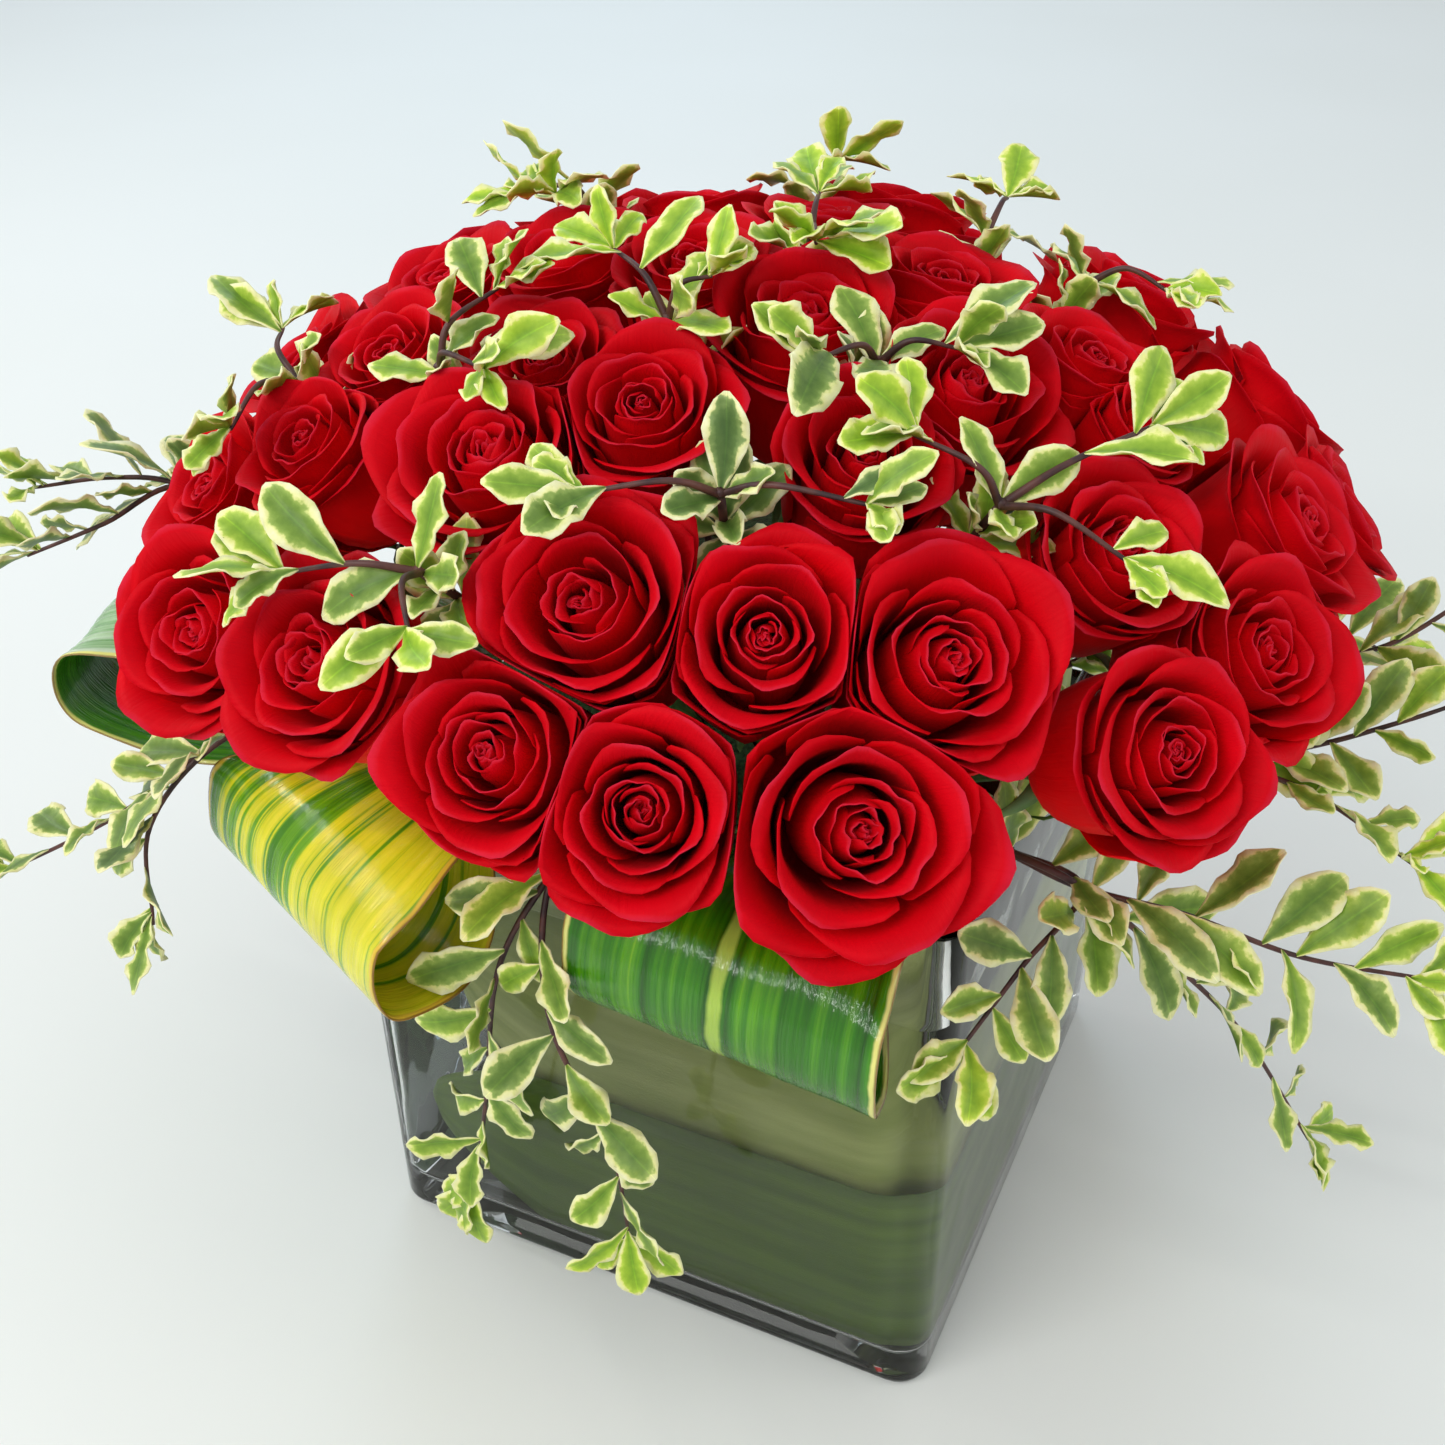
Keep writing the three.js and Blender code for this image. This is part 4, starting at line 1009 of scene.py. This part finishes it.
def rolled_grid(leaf):
    """The middle surface of a rolled leaf: the smoothed route gives out, height and half width along it,
    the roll turns from the rim's azimuth to the nose's as it leaves the rim, grows to one side by the
    flare, and carries ribs of a tenth of a millimetre."""
    route = smooth_path(leaf.route, ROUTE_STEPS)
    out, high, half = (route[:, k][:, None] for k in range(3))
    across = np.linspace(-1, 1, ROLLED_COLUMNS)[None, :]
    swing = rising(out, 0, SWING_REACH)
    azimuth = leaf.rim + (leaf.nose - leaf.rim) * swing
    outwards, wide = outward(azimuth), outward(azimuth + 90)
    grown = 1 + leaf.flare * across * rising(out, *FLARE_REACH)
    along = np.linspace(0, 1, len(route))[:, None]
    free = rising(out, *RIB_REACH)
    ribs = 0.12 * np.cos(across * RIBS * np.pi) + 0.35 * np.sin(across * 9 + 14 * along)
    margin = np.abs(across) ** 8 * np.sin(along * 46 + across * 2) * 1.6
    lift = (ribs + margin) * free
    grid = np.array([*leaf.middle, RIM_REST]) + outwards * ((out + lift * 0.4) * grown)[..., None]
    grid = grid + wide * (half * across)[..., None]
    grid[..., 2] += (high - RIM_REST) * grown + lift
    return grid[None], along[None], across[None]


print("points of a rolled leaf:", rolled_grid(ROLLED["rolled_leaf_front"])[0][..., 0].size)

# %% [markdown]
# ## Aspidistra finishes
#
# The stripes follow the leaf's length, so they are a noise of the place across it, stretched along it:
# hardly any change along, quick change across. A deep green leaf has few pale lines, a line down the
# middle and a thin cream margin. The striped one is yellow between many green bands, and the left one
# is deep green inside its roll and painted pale outside it, as painted light. All are glossy, with the
# fine ribs as bump, and that is what breaks up the highlight along the roll.

# %% Aspidistra finish
def stripe_noise(tree, across_scale, along_scale, seed):
    """Noise on (across, along), stretched along the leaf."""
    place = add(tree, "ShaderNodeCombineXYZ", {
        "X": maths(tree, "MULTIPLY", mark(tree, "leaf_across"), across_scale),
        "Y": maths(tree, "MULTIPLY", mark(tree, "leaf_along"), along_scale)}, Z=seed)
    return noise(tree, 1.0, 3, place.outputs["Vector"])


def rolled_finish(name, stripes, stripe_count, feather, rim_colour, seed, drift=0.0, middle_line=0.0,
                  outside=None):
    """A glossy aspidistra leaf: stripes is a colour ramp over the stripe noise, which is feathered by a
    finer one and drifts from one side to the other. A second ramp, if there is one, paints the outside of
    the roll paler, as painted light. The middle line, the margin and its dry edge are laid over it by the
    distance from the middle."""
    material, tree, shader = finish_base(name, (0.1, 0.38, 0.04), 0.13, Specular_IOR_Level=0.5)
    sideways = mark(tree, "leaf_across")
    drifting = maths(tree, "MULTIPLY", sideways, drift)
    band = maths(tree, "ADD", stripe_noise(tree, stripe_count, 1.3, seed), drifting)
    feathered = maths(tree, "ADD", band, centred(tree, stripe_noise(tree, 52, 7, seed + 3), feather))
    colour = ramp(tree, feathered, stripes)
    if outside:
        # Painted light: the outside ramp paints the outside of the roll paler than the inside.
        colour = blend(tree, mark(tree, "leaf_outside"), colour, ramp(tree, feathered, outside))
    across = maths(tree, "ABSOLUTE", sideways)
    wander = centred(tree, stripe_noise(tree, 3, 22, seed + 5), 0.05)
    edge = maths(tree, "ADD", across, wander)
    line = ramp(tree, edge, [(0.0, 1.0), (0.03, 1.0), (0.055, 0.0)])
    colour = blend(tree, maths(tree, "MULTIPLY", line, middle_line), colour, (0.52, 0.72, 0.10))
    rim = ramp(tree, edge, [(0.955, 0.0), (0.97, 1.0), (1.0, 1.0)])
    dry_edge = maths(tree, "ADD", across, maths(tree, "MULTIPLY", wander, 0.4))
    dry = ramp(tree, dry_edge, [(0.985, 0.0), (0.995, 0.8)])
    colour = blend(tree, dry, blend(tree, rim, colour, rim_colour), (0.22, 0.08, 0.02))
    paint(tree, shader, times(tree, colour, ramp(tree, noise(tree, 40, 3), [(0.3, 0.8), (0.7, 1.12)])))
    bump(tree, shader, stripe_noise(tree, 64.0, 26.0, seed + 9), 0.0010, 0.5)
    return material


print("materials so far:", len(bpy.data.materials))

# %% Stripes of the three leaves
GREEN = [(0.25, (0.012, 0.09, 0.001)), (0.5, (0.035, 0.21, 0.002)), (0.7, (0.10, 0.34, 0.004)),
         (0.88, (0.32, 0.55, 0.02))]
DEEP = [(0.25, (0.012, 0.09, 0.002)), (0.5, (0.035, 0.19, 0.006)), (0.66, (0.10, 0.32, 0.02)),
        (0.82, (0.42, 0.60, 0.26))]
STRIPED = [(0.34, (0.06, 0.24, 0.003)), (0.46, (0.16, 0.42, 0.006)), (0.52, (0.72, 0.72, 0.012)),
           (0.75, (0.95, 0.86, 0.04))]
# Painted light: the pale greens of the lit outside of the left leaf's roll.
PAINTED_LIGHT_MINT = [(0.25, (0.05, 0.22, 0.02)), (0.42, (0.16, 0.38, 0.10)), (0.55, (0.42, 0.60, 0.34)),
        (0.75, (0.66, 0.78, 0.58))]
CREAM = (0.80, 0.78, 0.22)
AMBER = (0.85, 0.58, 0.05)
ROLLED_LOOKS = {
    "rolled_leaf_front": ("rolled_leaf", rolled_finish(
        "rolled_green", GREEN, 14.0, 0.16, CREAM, 1.0, middle_line=0.75)),
    "rolled_leaf_corner": ("striped_leaf", rolled_finish(
        "rolled_striped", STRIPED, 12.0, 0.24, AMBER, 2.7, drift=0.09)),
    "rolled_leaf_left": ("rolled_leaf", rolled_finish(
        "rolled_deep", DEEP, 9.0, 0.16, CREAM, 4.1, middle_line=0.3, outside=PAINTED_LIGHT_MINT)),
}
print("striped finishes:", len(ROLLED_LOOKS))

# %% Make the rolled leaves
ROLLED_THICK = 0.8
# leaf_outside marks the second face of a rolled leaf, which the left leaf's finish paints pale as painted
# light.
BACKS = np.array([0.0, 1.0]).reshape(1, 2, 1, 1)
for name, leaf in ROLLED.items():
    grid, along, across = rolled_grid(leaf)
    slot, material = ROLLED_LOOKS[name]
    piece = make_sheets(name + "_blade", grid, ROLLED_THICK, material, slot, [name],
                        leaf_along=along, leaf_across=across, leaf_outside=BACKS)
    print(name, "faces", len(piece.data.polygons))


# %% [markdown]
# ## The leaves that line the glass
#
# Two more leaves lie against the inside of the vase and hide the foam. A route round a rounded square
# gives their middle line, and they taper to a point where they start on the front.

# %% Lining leaf shapes
VASE = SimpleNamespace(half=100.0, height=200.0, wall=6.0, floor=12.0, corner=11.0)
LININGS = {
    "lining_leaf_lower": SimpleNamespace(inset=5, start=-86, finish=20, low=12.4, high=84, stand=12,
                                         slot="dark_leaf"),
    "lining_leaf_upper": SimpleNamespace(inset=10, start=-70, finish=-40, low=62, high=184, stand=3,
                                         slot="pale_leaf"),
}
LINING_BEND = 14.0
START_TAPER = 46.0
FINISH_TAPER = 90.0


def lining_grid(leaf):
    """A sheet stood on edge along a route: straight across the front, round a quarter circle, along the
    right side, round another and back along the rear. Its height tapers as a power of the way in."""
    half = VASE.half - VASE.wall - leaf.inset
    straight = half - LINING_BEND
    front = np.stack([np.linspace(leaf.start, straight, 60), np.full(60, -half)], axis=-1)
    turn = np.linspace(0, np.pi / 2, 9)[1:-1]

    def curve(y, start):
        """A quarter circle round a corner of the square, from an angle on."""
        return np.stack([straight + LINING_BEND * np.cos(turn + start),
                         y + LINING_BEND * np.sin(turn + start)], axis=-1)

    side = np.stack([np.full(30, half), np.linspace(-straight, straight, 30)], axis=-1)
    rear = np.stack([np.linspace(straight, leaf.finish, 40), np.full(40, half)], axis=-1)
    route = np.concatenate([front, curve(-straight, -np.pi / 2), side, curve(straight, 0), rear])
    x, y = route[:, :1], route[:, 1:]
    from_start = np.where(y < -straight, (x - leaf.start) / START_TAPER, 1)
    from_finish = np.where(y > straight, (x - leaf.finish) / FINISH_TAPER, 1)
    taper = np.clip(np.minimum(from_start, from_finish), 0, 1) ** 0.55
    across = np.linspace(-1, 1, 9)[None, :]
    reach = (leaf.high - leaf.low) / 2 * (0.05 + 0.95 * taper)
    inwards = leaf.stand * (1 - np.clip(from_start, 0, 1))
    upright = (leaf.low + leaf.high) / 2 + across * reach
    grid = np.stack(np.broadcast_arrays(x, y + inwards, upright), axis=-1)
    return grid[None], np.linspace(0, 1, len(route))[None, :, None], across[None]


for name, leaf in LININGS.items():
    print(name, "is", leaf.high - leaf.low, "mm high")


# %% Make the lining leaves
LINING_THICK = 0.8


def lining_finish(name, dark, light):
    """A satin leaf under water: soft lengthwise bands between two greens."""
    material, tree, shader = finish_base(name, light, 0.4)
    paint(tree, shader, ramp(tree, stripe_noise(tree, 7.0, 5.0, 3.3), [(0.3, dark), (0.7, light)]))
    bump(tree, shader, stripe_noise(tree, 60.0, 5.0, 8.0), 0.0005, 0.4)
    return material


lining_looks = {
    "lining_leaf_lower": lining_finish("lining_dark", (0.065, 0.135, 0.002), (0.12, 0.22, 0.006)),
    # The upper leaf's greens are partly its own olive and partly painted reflection: lightened to stand for
    # the bright light that the glass's right face mirrors.
    "lining_leaf_upper": lining_finish("lining_pale", (0.34, 0.41, 0.08), (0.58, 0.64, 0.20)),
}
for name, leaf in LININGS.items():
    grid, along, across = lining_grid(leaf)
    make_sheets(name + "_blade", grid, LINING_THICK, lining_looks[name], leaf.slot, [name],
                leaf_along=along, leaf_across=across)
print("lining leaves done")

# %% [markdown]
# ## The glass cube and its water
#
# Pressed glass has thick walls, a thicker floor, rounded corners and edges melted soft. Its shape is one
# rounded square drawn again and again at different sizes and heights: up the outside, over the rim, down
# the inside and across the floor. The water is made the same way, as a ring round the foam. It reaches a
# tenth of a millimetre into the glass, because an air gap between them would mirror.

# %% Rounded square rings
QUARTER_TURN = np.array([[0, 1], [-1, 0]])


def square_ring(half, corner, per_corner=8, per_side=6):
    """Points round a square with rounded corners, anticlockwise: four quarter circles with straight runs
    between them, each a quarter turn on from the last."""
    straight = half - corner
    turn = np.linspace(0, np.pi / 2, per_corner)
    corner_points = np.stack([straight + corner * np.cos(turn), straight + corner * np.sin(turn)], axis=-1)
    run = np.linspace(1, -1, per_side + 2)[1:-1, None]
    quarters = [np.concatenate([corner_points, np.concatenate([run * straight, half + 0 * run], axis=1)])]
    for _ in range(3):
        quarters.append(quarters[-1] @ QUARTER_TURN)
    return np.concatenate(quarters)


def ring_stack(profile):
    """A stack of rounded squares, rows of (half size, corner radius, height), as rings x points x 3."""
    rings = [(square_ring(half, corner), height) for half, corner, height in profile]
    return np.array([np.column_stack([ring, np.full(len(ring), height)]) for ring, height in rings])


print("points of a ring:", len(square_ring(VASE.half, VASE.corner)))

# %% The glass
FOOT_RISE = 1.4
FOOT_ROUND = 4.0
RIM_ROUND = 2.0


def glass_profile():
    """Half size, corner radius and height up the outside, over the soft rim and down to the floor. The
    underside stands on a ring near its border and is a little raised inside it."""
    half, top, wall, floor, corner = VASE.half, VASE.height, VASE.wall, VASE.floor, VASE.corner
    inner, inner_corner = half - wall, corner - wall + 1
    bow = [(np.sin(turn), np.cos(turn)) for turn in np.linspace(0, np.pi / 2, 6)]
    rows = [(half - inset, corner, rise)
            for inset, rise in ((40, FOOT_RISE), (12, FOOT_RISE), (9.5, 1.1), (8, 0.3), (6.5, 0.0))]
    rows += [(half - FOOT_ROUND * (1 - s), corner - FOOT_ROUND * (1 - s), FOOT_ROUND * (1 - c))
             for s, c in bow]
    rows += [(half, corner, z) for z in (25, 60, 100, 140, 175)]
    rows += [(half - RIM_ROUND * (1 - c), corner - RIM_ROUND * (1 - c), top - RIM_ROUND * (1 - s))
             for s, c in bow]
    rows += [(inner + RIM_ROUND * (1 - s), inner_corner + RIM_ROUND * (1 - s), top - RIM_ROUND * (1 - c))
             for s, c in bow]
    rows += [(inner, inner_corner, z) for z in (160, 120, 80, 40)]
    rows += [(inner - FOOT_ROUND * (1 - c), inner_corner, floor + FOOT_ROUND * (1 - s)) for s, c in bow]
    return rows + [(inner - 20, corner, floor), (inner - 40, corner, floor)]


def clear_finish(name, roughness, ior, cloud, relief):
    """A clear body, glass or water, whose surface waves slowly. The tint dims its mirror image of the pale
    surround, which would veil the leaves behind it."""
    material, tree, shader = finish_base(name, (0.985, 0.995, 0.99), roughness, IOR=ior,
                                         Transmission_Weight=1.0, Specular_Tint=(0.25, 0.25, 0.18, 1))
    bump(tree, shader, noise(tree, *cloud), *relief)
    return material


points, walls, caps = closed_stack(ring_stack(glass_profile()), [[0, 0, FOOT_RISE], [0, 0, VASE.floor]])
glass = make_piece("glass_cube", points, [walls, caps], clear_finish(
    "vase_glass", 0.01, 1.5, (22, 2), (0.0025, 0.35)), ["glass_vase"])
print("glass faces", len(glass.data.polygons))

# %% The water
WATER_LEVEL = 160.0
BITE = 0.1

wet = VASE.half - VASE.wall + BITE
block = FOAM_WIDTH / 2 - BITE
bottom = VASE.floor - BITE
water_rows = [(wet, 6, bottom + 4), (wet, 6, 60), (wet, 6, 110), (wet, 6, WATER_LEVEL + 1.4),
              (wet - 0.8, 5.5, WATER_LEVEL + 0.6), (wet - 3, 5, WATER_LEVEL), (block + 3, 4, WATER_LEVEL),
              (block + 0.6, 1, WATER_LEVEL + 0.6), (block, 0.5, WATER_LEVEL + 1.2), (block, 0.5, bottom),
              (wet - 4, 5, bottom)]
rings = ring_stack(water_rows)
make_piece("water_body", rings, [stack_faces(*rings.shape[:2], closed=True)], clear_finish(
    "clear_water", 0.0, 1.333, (30, 2), (0.001, 0.2)), ["water"])
print("water level", WATER_LEVEL)

# %% [markdown]
# ## Foam
#
# The foam block's shape is right as it stands, so it keeps its own mesh and only gets a finish: dark
# green, with the open pores of wet floral foam as fine noise that both darkens and dents it.

# %% Foam finish
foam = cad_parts["foam_block"]
foam.data.materials.clear()
foam.data.materials.append(mottled_finish(
    "floral_foam", (0.05, 0.12, 0.045), 0.9, (900, 2),
    [(0.35, (0.02, 0.05, 0.02)), (0.6, (0.06, 0.15, 0.05))], (0.0008, 0.6)))
print("foam keeps its own mesh")

# %% [markdown]
# ## Floor, light and camera
#
# The picture was taken from above and a little to the right, close enough to make the near corner of
# the glass large. The light is soft and comes from all round: a pale surround does most of it, broad
# lamps shape it, and three narrow ones draw the bright lines along the rolled leaves. The floor is a
# pale painted board.

# %% The floor
FLOOR_SIZE = 12.0

floor_corners = [(x * FLOOR_SIZE / 2, y * FLOOR_SIZE / 2, 0) for x, y in ((-1, -1), (1, -1), (1, 1), (-1, 1))]
floor_mesh = bpy.data.meshes.new("stage_floor")
floor_mesh.from_pydata(floor_corners, [], [(0, 1, 2, 3)])
floor_mesh.materials.append(mottled_finish(
    "stage_floor", (0.85, 0.86, 0.85), 0.6, (3, 2), [(0.3, (0.83, 0.84, 0.80)), (0.7, (0.85, 0.86, 0.825))]))
floor = put("stage_floor", floor_mesh)
print("floor:", FLOOR_SIZE, "m wide")

# %% Light from all round
SURROUND_STRENGTH = 0.76

world = bpy.data.worlds.new("soft_surround")
bpy.context.scene.world = world
world.use_nodes = True
sky = world.node_tree
direction = sky.nodes.new("ShaderNodeTexCoord").outputs["Generated"]
height = add(sky, "ShaderNodeSeparateXYZ", {"Vector": direction}).outputs["Z"]
surround = ramp(sky, height, [(0.0, (1.0, 1.0, 0.98)), (0.2, (0.88, 0.93, 0.97)),
                              (0.7, (0.74, 0.78, 0.82))])
sky.links.new(surround, sky.nodes["Background"].inputs["Color"])
sky.nodes["Background"].inputs["Strength"].default_value = SURROUND_STRENGTH
print("light from all round:", SURROUND_STRENGTH)

# %% Lamps
def soft_light(name, place, aim, size, power, colour, along=(1, 0, 0)):
    """A rectangular lamp, size wide and deep in metres, turned to a point, its width along a direction."""
    lamp = bpy.data.lights.new(name, "AREA")
    lamp.shape = "RECTANGLE"
    lamp.size, lamp.size_y = size
    lamp.energy = power
    lamp.color = colour
    back = unit(np.array(place) - np.array(aim))
    right = unit(np.array(along) - back * (back @ along))
    up = np.cross(back, right)
    turn = Matrix((right, up, back)).transposed().to_4x4()
    put(name, lamp).matrix_world = Matrix.Translation(place) @ turn


NOSES = (0.05, -0.14, 0.2)
soft_light("lamp_above", (-0.1, -0.2, 1.7), (0, 0, 0.2), (1.5, 1.5), 2.2, (1, 0.99, 0.95))
soft_light("lamp_tube_low", (-0.40, -1.33, 1.27), NOSES, (1.3, 0.03), 6, (1, 1, 0.98))
soft_light("lamp_tube_high", (-0.40, -1.12, 1.46), NOSES, (1.3, 0.03), 6, (1, 1, 0.98))
soft_light("lamp_tube_left", (-1.47, -0.04, 0.97), (-0.08, -0.14, 0.2), (1.2, 0.03), 5, (1, 1, 0.98),
           (0.83, -0.56, 0))
soft_light("lamp_right", (1.3, 0.25, 0.8), (0.15, 0.0, 0.05), (0.8, 0.8), 3, (1, 1, 0.96))
soft_light("lamp_back", (-0.9, 1.5, 1.1), (-0.3, 0.6, 0), (0.9, 0.9), 5, (0.55, 0.78, 1))
print("lamps:", len(bpy.data.lights))

# %% Camera
CAMERA_PLACE = (0.19133, -0.43910, 0.5244)
CAMERA_HEADING = 25.1
CAMERA_PITCH = 36.0
CAMERA_ROLL = -0.6
CAMERA_LENS = 44.84
CAMERA_SENSOR = 36.0
CAMERA_NEAR = 0.01


def camera_matrix():
    """The camera's right, up and back directions: turned by the heading about the upright, tipped down by
    the pitch, and rolled about its own line of sight."""
    heading, pitch, roll = np.radians([CAMERA_HEADING, CAMERA_PITCH, CAMERA_ROLL])
    right = np.array([np.cos(heading), np.sin(heading), 0.0])
    ahead = np.array([-np.sin(heading) * np.cos(pitch), np.cos(heading) * np.cos(pitch), -np.sin(pitch)])
    down = -np.cross(right, ahead)
    rolled_right = right * np.cos(roll) - down * np.sin(roll)
    rolled_up = -(right * np.sin(roll) + down * np.cos(roll))
    matrix = Matrix((rolled_right, rolled_up, -ahead)).transposed().to_4x4()
    return Matrix.Translation(CAMERA_PLACE) @ matrix


lens = bpy.data.cameras.new("photo_camera")
lens.lens = CAMERA_LENS
lens.sensor_width = CAMERA_SENSOR
lens.clip_start = CAMERA_NEAR
camera = put("photo_camera", lens)
camera.matrix_world = camera_matrix()
bpy.context.scene.camera = camera
bpy.context.scene.view_settings.view_transform = "Standard"
print("camera at", CAMERA_PLACE, "with a lens of", CAMERA_LENS, "mm")
